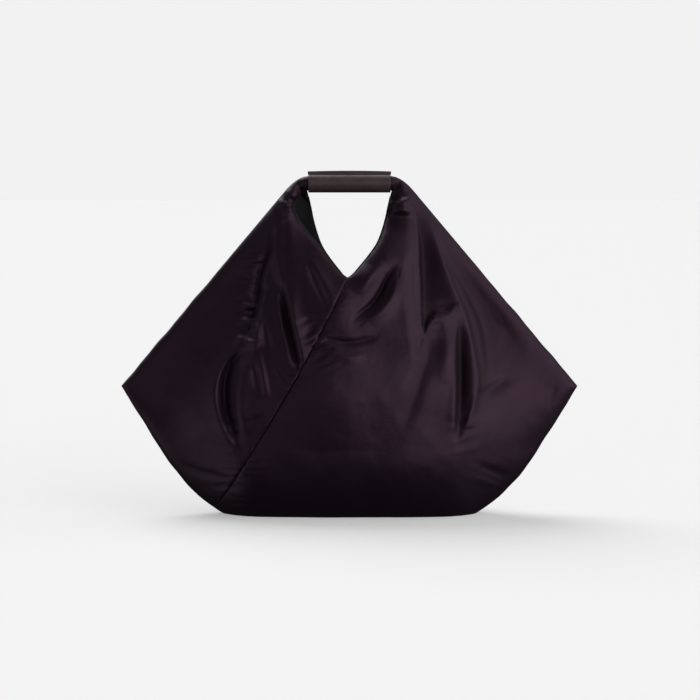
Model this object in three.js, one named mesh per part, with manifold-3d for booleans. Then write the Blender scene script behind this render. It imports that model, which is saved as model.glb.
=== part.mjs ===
// A soft tote bag with side tips, folded from two padded satin panels.
//
// The bag is two like panels, turned half round about the vertical axis from each other. Each panel
// starts at the slanting seam on one face, goes round a pointed side tip and ends at the slanting seam
// on the other face. The two seams start at the notches of the V-shaped opening and end at the base
// corners, and a third seam joins the panels under the base. The upper end of each panel narrows to a
// gathered neck, and both necks run into a leather sleeve, which is the handle.
//
// Millimetres, +Z up, X along the bag's width, the front faces -Y. The origin is on the floor under
// the middle of the bag.

import * as THREE from "three";
import { mergeVertices } from "three/addons/utils/BufferGeometryUtils.js";
import Module from "manifold-3d";

// The body's outline and depth.
const BAG_WIDTH = 552; // from side tip to side tip
const BAG_DEPTH = 168; // through the body where it is fullest
const TIP_HEIGHT = 155; // of the side tips above the floor
const BASE_LENGTH = 334; // between the corners where the lower edges would meet the floor
const BASE_ROUND = 55; // how far each base corner is rounded along the floor
const BASE_SAG = 12; // how far the padding is flattened where the bag stands
const BELLY_HEIGHT = 97; // above the flattened base, where the underside turns upright
const SEAM_FOOT = 7; // height at which the slanting seams reach the lower edges
const SEAM_BOW = 7; // how far the slanting seams bow from a straight line

// The handle and the opening under it.
const GRIP_HEIGHT = 399.5; // of the handle's axis above the floor
const GRIP_DROP = 112; // from the handle's axis down to the front notch of the opening
const BACK_DIP = 8; // how much lower the back notch is
const NOTCH_OFFSET = 2; // of each notch from the middle, to its face's left
const SLEEVE_LENGTH = 98;
const SLEEVE_DIAMETER = 22;
const SLEEVE_WALL = 1.4;
const FLANGE_HEIGHT = 4.3; // of the sewn edges that stand up along the sleeve
const FLANGE_WIDTH = 2.8;
const FLANGE_BOW = 0.8; // how much higher the flange is in its middle
const FLANGE_OVERHANG = 1.2; // of the flange past each end of the sleeve
const NECK_SLIT = 0.03; // how far the neck's underside stays from closed, as a share of its height
const SHOULDER_REACH = 13; // from the sleeve's end to the corner of the shoulder
const SHOULDER_ROUND = 15; // how far each shoulder is rounded across

// Cloth.
const PANEL_WALL = 4; // satin over padding
const EDGE_WALL = 6; // through the folded edges, where the padding doubles
const LINING_WALL = 1;
const LINING_SLACK = 9; // how much further in than the panel's inside the lining's folded edges are
const LINING_SPREAD = 1.9; // how much wider a crease is in the lining than in the panel
const LINING_EASE = 0.13; // how far the lining hangs clear of the panel, as a share of the depth there

// Clearances.
const SEAM_GAP = 0.4;
const FIT_GAP = 0.35;
const LINING_GAP = 1.1;

// Values worked out from the sizes above.
const HALF_WIDTH = BAG_WIDTH / 2;
const HALF_DEPTH = BAG_DEPTH / 2;
const NECK_RADIUS = SLEEVE_DIAMETER / 2 - SLEEVE_WALL - FIT_GAP;
const NECK_TOP = GRIP_HEIGHT + NECK_RADIUS;
const NECK_BOTTOM = GRIP_HEIGHT - NECK_RADIUS * (1 - 2 * NECK_SLIT);
const SHOULDER = SLEEVE_LENGTH / 2 + SHOULDER_REACH;
const NOTCH_HEIGHT = GRIP_HEIGHT - GRIP_DROP;

// Where a row of the strip grid meets the main features, as a share of the strip from base to sleeve.
const AT_TIP = 0.34;
const AT_NOTCH = 0.6;
const AT_NECK = 0.7;
const AT_SLEEVE = 0.88;
const AT_LINING_END = 0.82;

// Where the row through the side tip starts on the seam, and where the row through the notch ends on the
// upper edge, as shares of the seam and of the upper edge.
const SEAM_AT_TIP = 0.5;
const EDGE_AT_NOTCH = 0.42;

// Faces along and across the strip.
const ROWS = { base: 12, side: 7, mouth: 9, sleeve: 2 };
const LINING_ROWS = { base: 7, side: 4, mouth: 8 };
const COLUMNS = { small: 10, large: 24 };
const LINING_COLUMNS = { small: 4, large: 10 };
const BASE_CROWDING = 1.8; // rows lie closer together towards the base, where the surface turns under
const SLEEVE_SIDES = 40;

// Depth by height. rise is a share of GRIP_HEIGHT, and depth a share of HALF_DEPTH. roll is how far in
// from the folded upper edge the full depth is reached, as a share of GRIP_HEIGHT.
const FULLNESS = [
  { rise: -0.04, depth: 1.0, roll: 0.37 },
  { rise: 0.2, depth: 1.0, roll: 0.37 },
  { rise: 0.37, depth: 0.96, roll: 0.37 },
  { rise: 0.5, depth: 0.85, roll: 0.36 },
  { rise: 0.6, depth: 0.71, roll: 0.33 },
  { rise: 0.72, depth: 0.5, roll: 0.26 },
  { rise: 0.8, depth: 0.37, roll: 0.17 },
  { rise: 0.88, depth: 0.28, roll: 0.1 },
  { rise: 0.94, depth: 0.21, roll: 0.06 },
  { rise: 1.03, depth: 0.13, roll: 0.03 },
];

// Depth by distance from the middle. out is a share of HALF_WIDTH, and depth a share of the depth above.
const SLENDERNESS = [
  { out: 0.0, depth: 1.0 },
  { out: 0.25, depth: 0.98 },
  { out: 0.45, depth: 0.86 },
  { out: 0.6, depth: 0.64 },
  { out: 0.75, depth: 0.43 },
  { out: 0.88, depth: 0.33 },
  { out: 1.0, depth: 0.28 },
];

// The opening's edges on a face. rise is a share of the way from its notch up to the neck, and left and
// right are shares of half the sleeve's length. The left edge is drawn back round the neck, which shows
// the lining behind it.
const MOUTH = [
  { rise: 0.0, left: 0.0, right: 0.0 },
  { rise: 0.06, left: 0.19, right: 0.17 },
  { rise: 0.14, left: 0.34, right: 0.32 },
  { rise: 0.27, left: 0.57, right: 0.54 },
  { rise: 0.4, left: 0.78, right: 0.72 },
  { rise: 0.55, left: 1.06, right: 0.84 },
  { rise: 0.7, left: 1.28, right: 0.92 },
  { rise: 0.82, left: 1.36, right: 0.95 },
  { rise: 0.93, left: 1.22, right: 0.99 },
  { rise: 1.0, left: 1.04, right: 1.03 },
];

// The main folds of the front face. x and z are shares of HALF_WIDTH and GRIP_HEIGHT, bow is how far the
// fold's middle stands to the right of its chord from top to foot, as a share of HALF_WIDTH. width is a
// share of HALF_WIDTH, and height, the share of HALF_DEPTH that it stands out, is negative in a crease.
const FOLDS = [
  { x0: -0.34, z0: 0.89, x1: -0.21, z1: 0.45, bow: -0.035, width: 0.045, height: 0.08 }, // left neck ridge
  { x0: -0.32, z0: 0.7, x1: -0.23, z1: 0.42, bow: -0.005, width: 0.03, height: -0.12 }, // crease beside it
  { x0: -0.35, z0: 0.88, x1: -0.46, z1: 0.6, bow: 0.0, width: 0.035, height: -0.08 }, // left wing crease
  { x0: -0.45, z0: 0.55, x1: -0.49, z1: 0.21, bow: -0.09, width: 0.05, height: -0.14 }, // left hollow
  { x0: -0.56, z0: 0.5, x1: -0.54, z1: 0.2, bow: -0.07, width: 0.04, height: 0.05 }, // its outer lip
  { x0: -0.4, z0: 0.72, x1: -0.43, z1: 0.36, bow: 0.01, width: 0.04, height: 0.07 }, // pleat by the hollow
  { x0: -0.36, z0: 0.66, x1: -0.36, z1: 0.42, bow: 0.0, width: 0.035, height: -0.05 }, // dip behind it
  { x0: -0.25, z0: 0.74, x1: -0.08, z1: 0.62, bow: 0.0, width: 0.04, height: 0.04 }, // left of the notch
  { x0: 0.28, z0: 0.91, x1: 0.33, z1: 0.53, bow: 0.015, width: 0.035, height: 0.08 }, // right neck ridge
  { x0: 0.37, z0: 0.8, x1: 0.38, z1: 0.57, bow: 0.0, width: 0.05, height: -0.1 }, // pocket beside it
  { x0: 0.36, z0: 0.85, x1: 0.56, z1: 0.36, bow: 0.035, width: 0.035, height: 0.09 }, // long right ridge
  { x0: 0.5, z0: 0.56, x1: 0.48, z1: 0.24, bow: 0.02, width: 0.032, height: -0.14 }, // right hollow
  { x0: 0.46, z0: 0.65, x1: 0.44, z1: 0.22, bow: 0.0, width: 0.045, height: 0.06 }, // its inner lip
  { x0: 0.15, z0: 0.71, x1: 0.02, z1: 0.59, bow: 0.04, width: 0.028, height: -0.09 }, // right of the notch
  { x0: 0.1, z0: 0.52, x1: -0.11, z1: 0.53, bow: 0.02, width: 0.03, height: -0.05 }, // level crease
  { x0: 0.35, z0: 0.5, x1: 0.22, z1: 0.3, bow: 0.0, width: 0.04, height: -0.03 }, // faint drag line
];

const lerp = THREE.MathUtils.lerp;
const clamp = THREE.MathUtils.clamp;
const smooth = THREE.MathUtils.smoothstep;

// The value of a table's column at a place along its first column, with no corners between its rows.
function lookUp(table, key, at, column) {
  const last = table.length - 1;
  const place = clamp(at, table[0][key], table[last][key]);
  let row = 0;
  while (row < last - 1 && place > table[row + 1][key]) row += 1;
  const [a, b] = [table[row], table[row + 1]];
  const before = table[Math.max(row - 1, 0)];
  const after = table[Math.min(row + 2, last)];
  const step = b[key] - a[key];
  const slopeAt = (p, q) => ((q[column] - p[column]) / (q[key] - p[key])) * step;
  const [m0, m1] = [slopeAt(before, b), slopeAt(a, after)];
  const u = (place - a[key]) / step;
  const [u2, u3] = [u * u, u * u * u];
  return (
    (2 * u3 - 3 * u2 + 1) * a[column] +
    (u3 - 2 * u2 + u) * m0 +
    (3 * u2 - 2 * u3) * b[column] +
    (u3 - u2) * m1
  );
}

// The lower outline's height at a distance from the middle: flat, rounded, then straight up to the tip.
const LOWER_SLOPE = (TIP_HEIGHT + BASE_SAG) / (HALF_WIDTH - BASE_LENGTH / 2);
function lowerEdge(x) {
  const along = Math.abs(x) - (BASE_LENGTH / 2 - BASE_ROUND);
  if (along <= 0) return -BASE_SAG;
  if (along >= 2 * BASE_ROUND) return -BASE_SAG + LOWER_SLOPE * (along - BASE_ROUND);
  return -BASE_SAG + (LOWER_SLOPE * along * along) / (4 * BASE_ROUND);
}

// Where the lower outline reaches the height at which the slanting seams end.
const FOOT_REACH =
  BASE_LENGTH / 2 -
  BASE_ROUND +
  Math.sqrt(((SEAM_FOOT + BASE_SAG) * 4 * BASE_ROUND) / LOWER_SLOPE);

// The upper outline's height: level over the sleeve, rounded at the shoulder, then straight to the tip.
const UPPER_SLOPE = (NECK_TOP - TIP_HEIGHT) / (HALF_WIDTH - SHOULDER);
function upperEdge(x) {
  const along = Math.abs(x) - (SHOULDER - SHOULDER_ROUND);
  if (along <= 0) return NECK_TOP;
  if (along >= 2 * SHOULDER_ROUND) return NECK_TOP - UPPER_SLOPE * (along - SHOULDER_ROUND);
  return NECK_TOP - (UPPER_SLOPE * along * along) / (4 * SHOULDER_ROUND);
}

// How steeply the upper outline falls.
function upperFall(x) {
  const along = clamp(Math.abs(x) - (SHOULDER - SHOULDER_ROUND), 0, 2 * SHOULDER_ROUND);
  return (UPPER_SLOPE * along) / (2 * SHOULDER_ROUND);
}

// The right folded edge from base corner to sleeve middle, moved in by inset.
function foldedEdge(t, inset) {
  let x;
  if (t <= AT_TIP) {
    x = lerp(FOOT_REACH, HALF_WIDTH, t / AT_TIP);
  } else if (t <= AT_NOTCH) {
    x = lerp(HALF_WIDTH, SHOULDER, ((t - AT_TIP) / (AT_NOTCH - AT_TIP)) * EDGE_AT_NOTCH);
  } else if (t <= AT_SLEEVE) {
    const start = lerp(HALF_WIDTH, SHOULDER, EDGE_AT_NOTCH);
    const end = SLEEVE_LENGTH / 2 + SHOULDER_REACH / 2;
    x = lerp(start, end, (t - AT_NOTCH) / (AT_SLEEVE - AT_NOTCH));
  } else {
    const start = SLEEVE_LENGTH / 2 + SHOULDER_REACH / 2;
    x = lerp(start, SEAM_GAP / 2, (t - AT_SLEEVE) / (1 - AT_SLEEVE));
  }
  const lower = t <= AT_TIP;
  const point = new THREE.Vector2(x, lower ? lowerEdge(x) : upperEdge(x));
  const below = new THREE.Vector2(LOWER_SLOPE, -1).normalize();
  const above = new THREE.Vector2(upperFall(x), 1).normalize();
  let out = lower ? below : above;
  if (Math.abs(t - AT_TIP) < 1e-9) {
    out = below.clone().add(above).normalize();
    out.divideScalar(out.dot(above));
  }
  return t >= AT_SLEEVE + 1e-9
    ? point.addScaledVector(new THREE.Vector2(0, 1), -inset)
    : point.addScaledVector(out, -inset);
}

// The two faces, with how much lower than the front's each one's notch is.
const FRONT = { dip: 0, turn: 1 };
const BACK = { dip: BACK_DIP, turn: -1 };

// The slanting seam on the front, from base corner to notch.
function seam(face, t) {
  const along =
    t <= AT_TIP
      ? (t / AT_TIP) * SEAM_AT_TIP
      : lerp(SEAM_AT_TIP, 1, (t - AT_TIP) / (AT_NOTCH - AT_TIP));
  const bow = SEAM_BOW * 4 * along * (1 - along);
  return new THREE.Vector2(
    lerp(-FOOT_REACH, -NOTCH_OFFSET, along) + bow,
    lerp(SEAM_FOOT, NOTCH_HEIGHT - face.dip, along),
  );
}

// The strip's inner border on the front: the seam, the opening's edge, then the underside of the neck.
// side is 1 to the right of the seam and -1 to its left.
function innerBorder(face, side, t) {
  const column = side > 0 ? "right" : "left";
  const reach = SLEEVE_LENGTH / 2;
  if (t <= AT_NOTCH) return seam(face, t);
  if (t <= AT_SLEEVE) {
    const rise = (t - AT_NOTCH) / (AT_SLEEVE - AT_NOTCH);
    const x = side * reach * lookUp(MOUTH, "rise", rise, column);
    const height = lerp(NOTCH_HEIGHT - face.dip, NECK_BOTTOM, rise);
    return new THREE.Vector2(x - NOTCH_OFFSET * (1 - rise), height);
  }
  const start = reach * MOUTH[MOUTH.length - 1][column];
  const x = lerp(start, SEAM_GAP / 2, (t - AT_SLEEVE) / (1 - AT_SLEEVE));
  return new THREE.Vector2(side * x, NECK_BOTTOM);
}

// A point of the front's flat plan, for a share s from inner border to folded edge and t from base to
// sleeve. layer moves it in from the folded edge and up from the base.
function planPoint(face, side, s, t, layer) {
  const inset = layer.inset + layer.slack * (1 - smooth(t, AT_NOTCH - 0.1, AT_NECK));
  const foot = new THREE.Vector2(-FOOT_REACH, lowerEdge(FOOT_REACH));
  const cornerMove = foldedEdge(0, layer.inset + layer.slack).sub(foldedEdge(0, 0));
  const nearCorner = Math.max(0, 1 - t / (AT_TIP / 2)) ** 2;
  const inner = innerBorder(face, side, t);
  inner.x += (side > 0 ? layer.gap : 0) - cornerMove.x * nearCorner;
  inner.y += cornerMove.y * nearCorner;
  const outer = foldedEdge(t, inset);
  outer.x *= side;
  const point = inner.clone().lerp(outer, s);
  if (side > 0) {
    const x = lerp(foot.x + layer.gap, -foot.x, s);
    const dip = lowerEdge(x) - foot.y + (layer.lift - cornerMove.y) * 4 * s * (1 - s);
    point.y += (1 - t) ** 3 * dip;
  }
  return point;
}

// How far the folds of the front stand out at a point. A loose layer has only the creases, spread wider.
function foldHeight(x, z, layer) {
  let height = 0;
  for (const fold of FOLDS) {
    if (layer.spread > 1 && fold.height > 0) continue;
    const start = new THREE.Vector2(fold.x0 * HALF_WIDTH, fold.z0 * GRIP_HEIGHT);
    const chord = new THREE.Vector2(fold.x1 * HALF_WIDTH, fold.z1 * GRIP_HEIGHT).sub(start);
    const length = chord.length();
    chord.divideScalar(length);
    const from = new THREE.Vector2(x, z).sub(start);
    const along = from.dot(chord) / length;
    if (along <= 0 || along >= 1) continue;
    const across = from.y * chord.x - from.x * chord.y;
    const off = across - fold.bow * HALF_WIDTH * 4 * along * (1 - along);
    const fade = Math.sin(Math.PI * along) ** 0.7;
    const width = fold.width * HALF_WIDTH * layer.spread;
    height += fold.height * HALF_DEPTH * fade * Math.exp(-((off / width) ** 2));
  }
  return height;
}

// Half the body's depth at a point of the plan, with no folds.
function bodyDepth(x, z) {
  const rise = z / GRIP_HEIGHT;
  const full =
    HALF_DEPTH *
    lookUp(FULLNESS, "rise", rise, "depth") *
    lookUp(SLENDERNESS, "out", Math.abs(x) / HALF_WIDTH, "depth");
  const roll = GRIP_HEIGHT * lookUp(FULLNESS, "rise", rise, "roll");
  const belly = lerp(BELLY_HEIGHT, 1.6 * BELLY_HEIGHT, smooth(Math.abs(x) / HALF_WIDTH, 0.4, 0.9));
  const fromTop = Math.max(0, upperEdge(x) - z) / Math.hypot(1, upperFall(x));
  const fromBase = Math.max(0, z - lowerEdge(x));
  const top = 1 - (1 - Math.min(fromTop / roll, 1)) ** 2;
  const base = 1 - (1 - Math.min(fromBase / belly, 1)) ** 2;
  if (top <= 0 || base <= 0) return 0;
  const both = (top ** -2 + base ** -2 - 1) ** -0.5;
  const round = smooth(Math.abs(x) / HALF_WIDTH, 0.35, 0.72) * 0.5 + 0.5;
  return full * both ** lerp(round, 1, smooth(rise, 0.22, 0.42));
}

// Half the gathered neck's depth on a row of the strip.
function neckDepth(s, t) {
  const across = NECK_SLIT + (1 - NECK_SLIT) * s;
  const radius = lerp(2 * NECK_RADIUS, NECK_RADIUS, smooth(t, AT_NECK, AT_SLEEVE));
  return radius * Math.sqrt(Math.max(0, 1 - (2 * across - 1) ** 2));
}

// A point on one layer of a face. The back is worked out as a front and then turned half round.
function layerPoint(face, side, s, t, layer) {
  const place = planPoint(face, side, s, t, layer);
  const skin = planPoint(face, side, s, t, { ...OUTSIDE, gap: layer.gap });
  const flat = bodyDepth(skin.x, skin.y);
  const gather = smooth(t, AT_NECK - 0.04, AT_SLEEVE - 0.02);
  const step = 1;
  const slope = Math.hypot(
    (bodyDepth(skin.x + step, skin.y) - bodyDepth(skin.x - step, skin.y)) / (2 * step),
    (bodyDepth(skin.x, skin.y + step) - bodyDepth(skin.x, skin.y - step)) / (2 * step),
  );
  const relief = foldHeight(skin.x, skin.y, layer) * smooth(flat, 0, HALF_DEPTH / 8);
  const depth = lerp(Math.max(flat + relief, flat / 3), neckDepth(s, t), gather);
  const lean = lerp(Math.min(Math.hypot(1, slope), 2), 1, gather);
  const take = (layer.take + layer.ease * flat * (1 - gather)) * lean;
  const left = take > 0 ? depth - take * (1 - Math.exp(-depth / take)) : depth;
  const parting = side > 0 ? layer.gap * (1 - s) * Math.max(0, 1 - t / AT_TIP) : 0;
  const floor = Math.max(place.y, layer.lift);
  const z = s === 1 && t > AT_TIP ? place.y : floor;
  return new THREE.Vector3(face.turn * place.x, -face.turn * (left + parting), z);
}

const OUTSIDE = { inset: 0, slack: 0, lift: 0, take: 0, ease: 0, gap: SEAM_GAP, spread: 1 };
const INSIDE = {
  inset: EDGE_WALL,
  slack: 0,
  lift: PANEL_WALL,
  take: PANEL_WALL,
  ease: 0,
  gap: SEAM_GAP,
  spread: 1,
};
const LINING_OUTSIDE = {
  inset: EDGE_WALL + LINING_GAP,
  slack: LINING_SLACK,
  lift: PANEL_WALL + LINING_GAP,
  take: PANEL_WALL + LINING_GAP,
  ease: LINING_EASE,
  gap: 0,
  spread: LINING_SPREAD,
};
const LINING_INSIDE = {
  inset: EDGE_WALL + LINING_GAP + LINING_WALL,
  slack: LINING_SLACK,
  lift: PANEL_WALL + LINING_GAP + LINING_WALL,
  take: PANEL_WALL + LINING_GAP + LINING_WALL,
  ease: LINING_EASE,
  gap: 0,
  spread: LINING_SPREAD,
};

// The strip's rows, as shares from base to sleeve.
function rowShares(counts, end) {
  const shares = [];
  for (let i = 0; i < counts.base; i += 1) shares.push(AT_TIP * (i / counts.base) ** BASE_CROWDING);
  for (let i = 0; i < counts.side; i += 1) shares.push(lerp(AT_TIP, AT_NOTCH, i / counts.side));
  const top = Math.min(end, AT_SLEEVE);
  for (let i = 0; i < counts.mouth; i += 1) shares.push(lerp(AT_NOTCH, top, i / counts.mouth));
  shares.push(top);
  for (let i = 1; i <= (counts.sleeve ?? 0); i += 1) shares.push(lerp(top, end, i / counts.sleeve));
  return shares;
}

// A geometry from a list of triangles, each three points.
function geometryOf(triangles) {
  const positions = new Float32Array(triangles.flatMap((corners) => corners.flatMap((p) => p.toArray())));
  const geometry = new THREE.BufferGeometry();
  geometry.setAttribute("position", new THREE.BufferAttribute(positions, 3));
  const merged = mergeVertices(geometry, 1e-3);
  merged.computeVertexNormals();
  return merged;
}

// Adds a four-sided face as two triangles, leaving out any side that has no length.
function addFace(triangles, a, b, c, d) {
  const apart = (p, q) => p.distanceToSquared(q) > 1e-6;
  if (apart(a, b) && apart(b, c) && apart(a, c)) triangles.push([a, b, c]);
  if (apart(a, c) && apart(c, d) && apart(a, d)) triangles.push([a, c, d]);
}

// A wall between two sheets of points with the same rows and columns, closed round its borders.
function wallBetween(outside, inside) {
  const triangles = [];
  const rows = outside.length - 1;
  const columns = outside[0].length - 1;
  for (let j = 0; j < rows; j += 1) {
    for (let i = 0; i < columns; i += 1) {
      addFace(triangles, outside[j][i], outside[j][i + 1], outside[j + 1][i + 1], outside[j + 1][i]);
      addFace(triangles, inside[j][i], inside[j + 1][i], inside[j + 1][i + 1], inside[j][i + 1]);
    }
    addFace(triangles, outside[j][0], outside[j + 1][0], inside[j + 1][0], inside[j][0]);
    addFace(
      triangles,
      outside[j][columns],
      inside[j][columns],
      inside[j + 1][columns],
      outside[j + 1][columns],
    );
  }
  for (let i = 0; i < columns; i += 1) {
    addFace(triangles, outside[0][i], inside[0][i], inside[0][i + 1], outside[0][i + 1]);
    addFace(triangles, outside[rows][i], outside[rows][i + 1], inside[rows][i + 1], inside[rows][i]);
  }
  return triangles;
}

// One panel: the small part left of one face's seam, then round a tip to the other face's large part.
function panelSheet(smallFace, largeFace, layer) {
  return rowShares(ROWS, 1).map((t) => {
    const row = [];
    for (let i = 0; i <= COLUMNS.small; i += 1) {
      row.push(layerPoint(smallFace, -1, i / COLUMNS.small, t, layer));
    }
    for (let i = COLUMNS.large - 1; i >= 0; i -= 1) {
      row.push(layerPoint(largeFace, 1, i / COLUMNS.large, t, layer));
    }
    return row;
  });
}

function panelGeometry(smallFace, largeFace) {
  const outside = panelSheet(smallFace, largeFace, OUTSIDE);
  const inside = panelSheet(smallFace, largeFace, INSIDE);
  return geometryOf(wallBetween(outside, inside).map(([a, b, c]) => [a, c, b]));
}

// The lining: one thin pouch inside both panels, which ends below the sleeve.
function liningGeometry() {
  const shares = rowShares(LINING_ROWS, AT_LINING_END);
  const rows = shares.length - 1;
  const triangles = [];
  for (const [face, side] of [FRONT, BACK].flatMap((f) => [[f, -1], [f, 1]])) {
    const count = side > 0 ? LINING_COLUMNS.large : LINING_COLUMNS.small;
    const sheet = (layer) =>
      shares.map((t) =>
        Array.from({ length: count + 1 }, (_, i) => layerPoint(face, side, i / count, t, layer)),
      );
    const [outside, inside] = [sheet(LINING_OUTSIDE), sheet(LINING_INSIDE)];
    const faces = [];
    for (let j = 0; j < rows; j += 1) {
      for (let i = 0; i < count; i += 1) {
        addFace(faces, outside[j][i], outside[j][i + 1], outside[j + 1][i + 1], outside[j + 1][i]);
        addFace(faces, inside[j][i], inside[j + 1][i], inside[j + 1][i + 1], inside[j][i + 1]);
      }
      if (shares[j] >= AT_NOTCH - 1e-9) {
        addFace(faces, outside[j][0], outside[j + 1][0], inside[j + 1][0], inside[j][0]);
      }
    }
    for (let i = 0; i < count; i += 1) {
      addFace(faces, outside[rows][i], outside[rows][i + 1], inside[rows][i + 1], inside[rows][i]);
    }
    triangles.push(...(side > 0 ? faces : faces.map(([a, b, c]) => [a, c, b])));
  }
  return geometryOf(triangles);
}

const wasm = await Module();
wasm.setup();

// A closed geometry as a solid that can be joined to another.
function solidOf(geometry) {
  const bare = geometry.index ? geometry.toNonIndexed() : geometry.clone();
  bare.deleteAttribute("normal");
  bare.deleteAttribute("uv");
  const merged = mergeVertices(bare, 1e-4);
  return new wasm.Manifold(
    new wasm.Mesh({
      numProp: 3,
      vertProperties: merged.attributes.position.array,
      triVerts: new Uint32Array(merged.index.array),
    }),
  );
}

// The leather sleeve: a tube along X with its two sewn edges standing up as a flange.
function sleeveGeometry() {
  const radius = SLEEVE_DIAMETER / 2;
  const ring = new THREE.Shape().absarc(0, 0, radius, 0, 2 * Math.PI, false);
  ring.holes.push(new THREE.Path().absarc(0, 0, radius - SLEEVE_WALL, 0, 2 * Math.PI, true));
  const tube = new THREE.ExtrudeGeometry(ring, {
    depth: SLEEVE_LENGTH,
    bevelEnabled: false,
    curveSegments: SLEEVE_SIDES,
  });
  tube.translate(0, 0, -SLEEVE_LENGTH / 2);
  tube.rotateY(Math.PI / 2);
  const reach = SLEEVE_LENGTH / 2 + FLANGE_OVERHANG;
  const foot = radius - SLEEVE_WALL / 2;
  const top = radius + FLANGE_HEIGHT - FLANGE_BOW;
  const blade = new THREE.Shape();
  blade.moveTo(-reach, foot);
  blade.lineTo(reach, foot);
  blade.lineTo(reach, top);
  blade.quadraticCurveTo(0, top + 2 * FLANGE_BOW, -reach, top);
  const flange = new THREE.ExtrudeGeometry(blade, { depth: FLANGE_WIDTH, bevelEnabled: false });
  flange.translate(0, 0, -FLANGE_WIDTH / 2);
  flange.rotateX(Math.PI / 2);
  const joined = solidOf(tube).add(solidOf(flange)).getMesh();
  const geometry = new THREE.BufferGeometry();
  geometry.setAttribute("position", new THREE.BufferAttribute(joined.vertProperties, 3));
  geometry.setIndex(new THREE.BufferAttribute(joined.triVerts, 1));
  geometry.translate(0, 0, GRIP_HEIGHT);
  geometry.computeVertexNormals();
  return geometry;
}

const satin = new THREE.MeshStandardMaterial({ color: 0x2a1c2b, roughness: 0.42, metalness: 0 });
const liningCloth = new THREE.MeshStandardMaterial({ color: 0x171b1a, roughness: 0.8, metalness: 0 });
const leather = new THREE.MeshStandardMaterial({ color: 0x33292a, roughness: 0.45, metalness: 0 });

function addMesh(group, name, geometry, material) {
  const mesh = new THREE.Mesh(geometry, material);
  mesh.name = name;
  group.add(mesh);
  return mesh;
}

const bag = new THREE.Group();
addMesh(bag, "left_panel", panelGeometry(FRONT, BACK), satin);
addMesh(bag, "right_panel", panelGeometry(BACK, FRONT), satin);
addMesh(bag, "lining", liningGeometry(), liningCloth);
addMesh(bag, "handle_sleeve", sleeveGeometry(), leather);

export default bag;
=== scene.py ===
"""A soft padded satin tote bag with pointed side tips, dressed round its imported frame.

Two equal padded panels meet at a slanting seam on each face and at a third seam under the base. Their
upper ends are gathered into a leather sleeve, which is the handle, and a thin lining shows in the opening.
Lengths are worked out in millimetres, and every finished mesh is in metres, in the frame's axes: +X to the
viewer's right, +Z up, and the front facing -Y.
"""

import logging
import math
from dataclasses import dataclass
from enum import Enum
from typing import Sequence

import bmesh
import bpy
import numpy as np
from mathutils import Matrix, Vector


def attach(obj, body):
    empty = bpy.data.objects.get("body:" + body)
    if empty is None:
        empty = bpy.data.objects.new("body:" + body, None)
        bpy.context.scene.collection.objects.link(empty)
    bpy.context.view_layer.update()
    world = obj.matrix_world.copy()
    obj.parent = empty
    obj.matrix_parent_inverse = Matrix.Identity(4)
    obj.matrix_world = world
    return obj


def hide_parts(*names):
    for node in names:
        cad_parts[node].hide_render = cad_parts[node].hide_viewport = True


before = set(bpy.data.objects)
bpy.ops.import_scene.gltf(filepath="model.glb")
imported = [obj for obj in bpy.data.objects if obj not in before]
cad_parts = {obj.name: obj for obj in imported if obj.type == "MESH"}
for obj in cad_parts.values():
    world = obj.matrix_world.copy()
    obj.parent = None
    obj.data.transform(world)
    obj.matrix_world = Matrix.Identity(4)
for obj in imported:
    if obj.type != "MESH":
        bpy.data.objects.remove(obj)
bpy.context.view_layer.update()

LOG = logging.getLogger("tote_bag")
MM = 0.001  # a millimetre, in metres
TINY = 1e-9
BODY = "root"
Array = np.ndarray
Table = Sequence[tuple[float, ...]]


# Curves and tables


def look_up(table: Table, column: int, at: Array) -> Array:
    """Reads a table's column with no corners between its rows.

    Args:
        table: rows of numbers, the first of which rises from row to row.
        column: which number of each row is wanted.
        at: places along the first column.

    Returns:
        The column's value at each place.
    """
    rows = np.asarray(table, dtype=float)
    keys, values = rows[:, 0], rows[:, column]
    last = len(rows) - 1
    place = np.clip(at, keys[0], keys[last])
    row = np.clip(np.searchsorted(keys, place, side="left") - 1, 0, last - 1)
    before = np.maximum(row - 1, 0)
    after = np.minimum(row + 2, last)
    step = keys[row + 1] - keys[row]
    start = (values[row + 1] - values[before]) / (keys[row + 1] - keys[before]) * step
    end = (values[after] - values[row]) / (keys[after] - keys[row]) * step
    u = (place - keys[row]) / step
    return (
        (2 * u**3 - 3 * u**2 + 1) * values[row]
        + (u**3 - 2 * u**2 + u) * start
        + (3 * u**2 - 2 * u**3) * values[row + 1]
        + (u**3 - u**2) * end
    )


def smooth(value: Array, low: float, high: float) -> Array:
    """Rises smoothly from 0 at low to 1 at high."""
    u = np.clip((value - low) / (high - low), 0.0, 1.0)
    return u * u * (3.0 - 2.0 * u)


def mix(a: Array, b: Array, share: Array) -> Array:
    """Goes from a to b by a share from 0 to 1."""
    return a + (b - a) * share


def rounded_path(points: Sequence[tuple[float, float]], pieces: int) -> Array:
    """Draws a smooth line through a few points.

    Args:
        points: the places that the line passes through.
        pieces: how many straight pieces each stretch is cut into.

    Returns:
        The line's points, one row each.
    """
    given = np.asarray(points, dtype=float)
    padded = np.vstack([2 * given[0] - given[1], given, 2 * given[-1] - given[-2]])
    line = []
    for a, b, c, d in zip(padded, padded[1:], padded[2:], padded[3:]):
        for k in range(pieces):
            u = k / pieces
            line.append(0.5 * (
                2 * b + (c - a) * u
                + (2 * a - 5 * b + 4 * c - d) * u**2
                + (3 * b - a - 3 * c + d) * u**3
            ))
    line.append(given[-1])
    return np.asarray(line)


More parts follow.
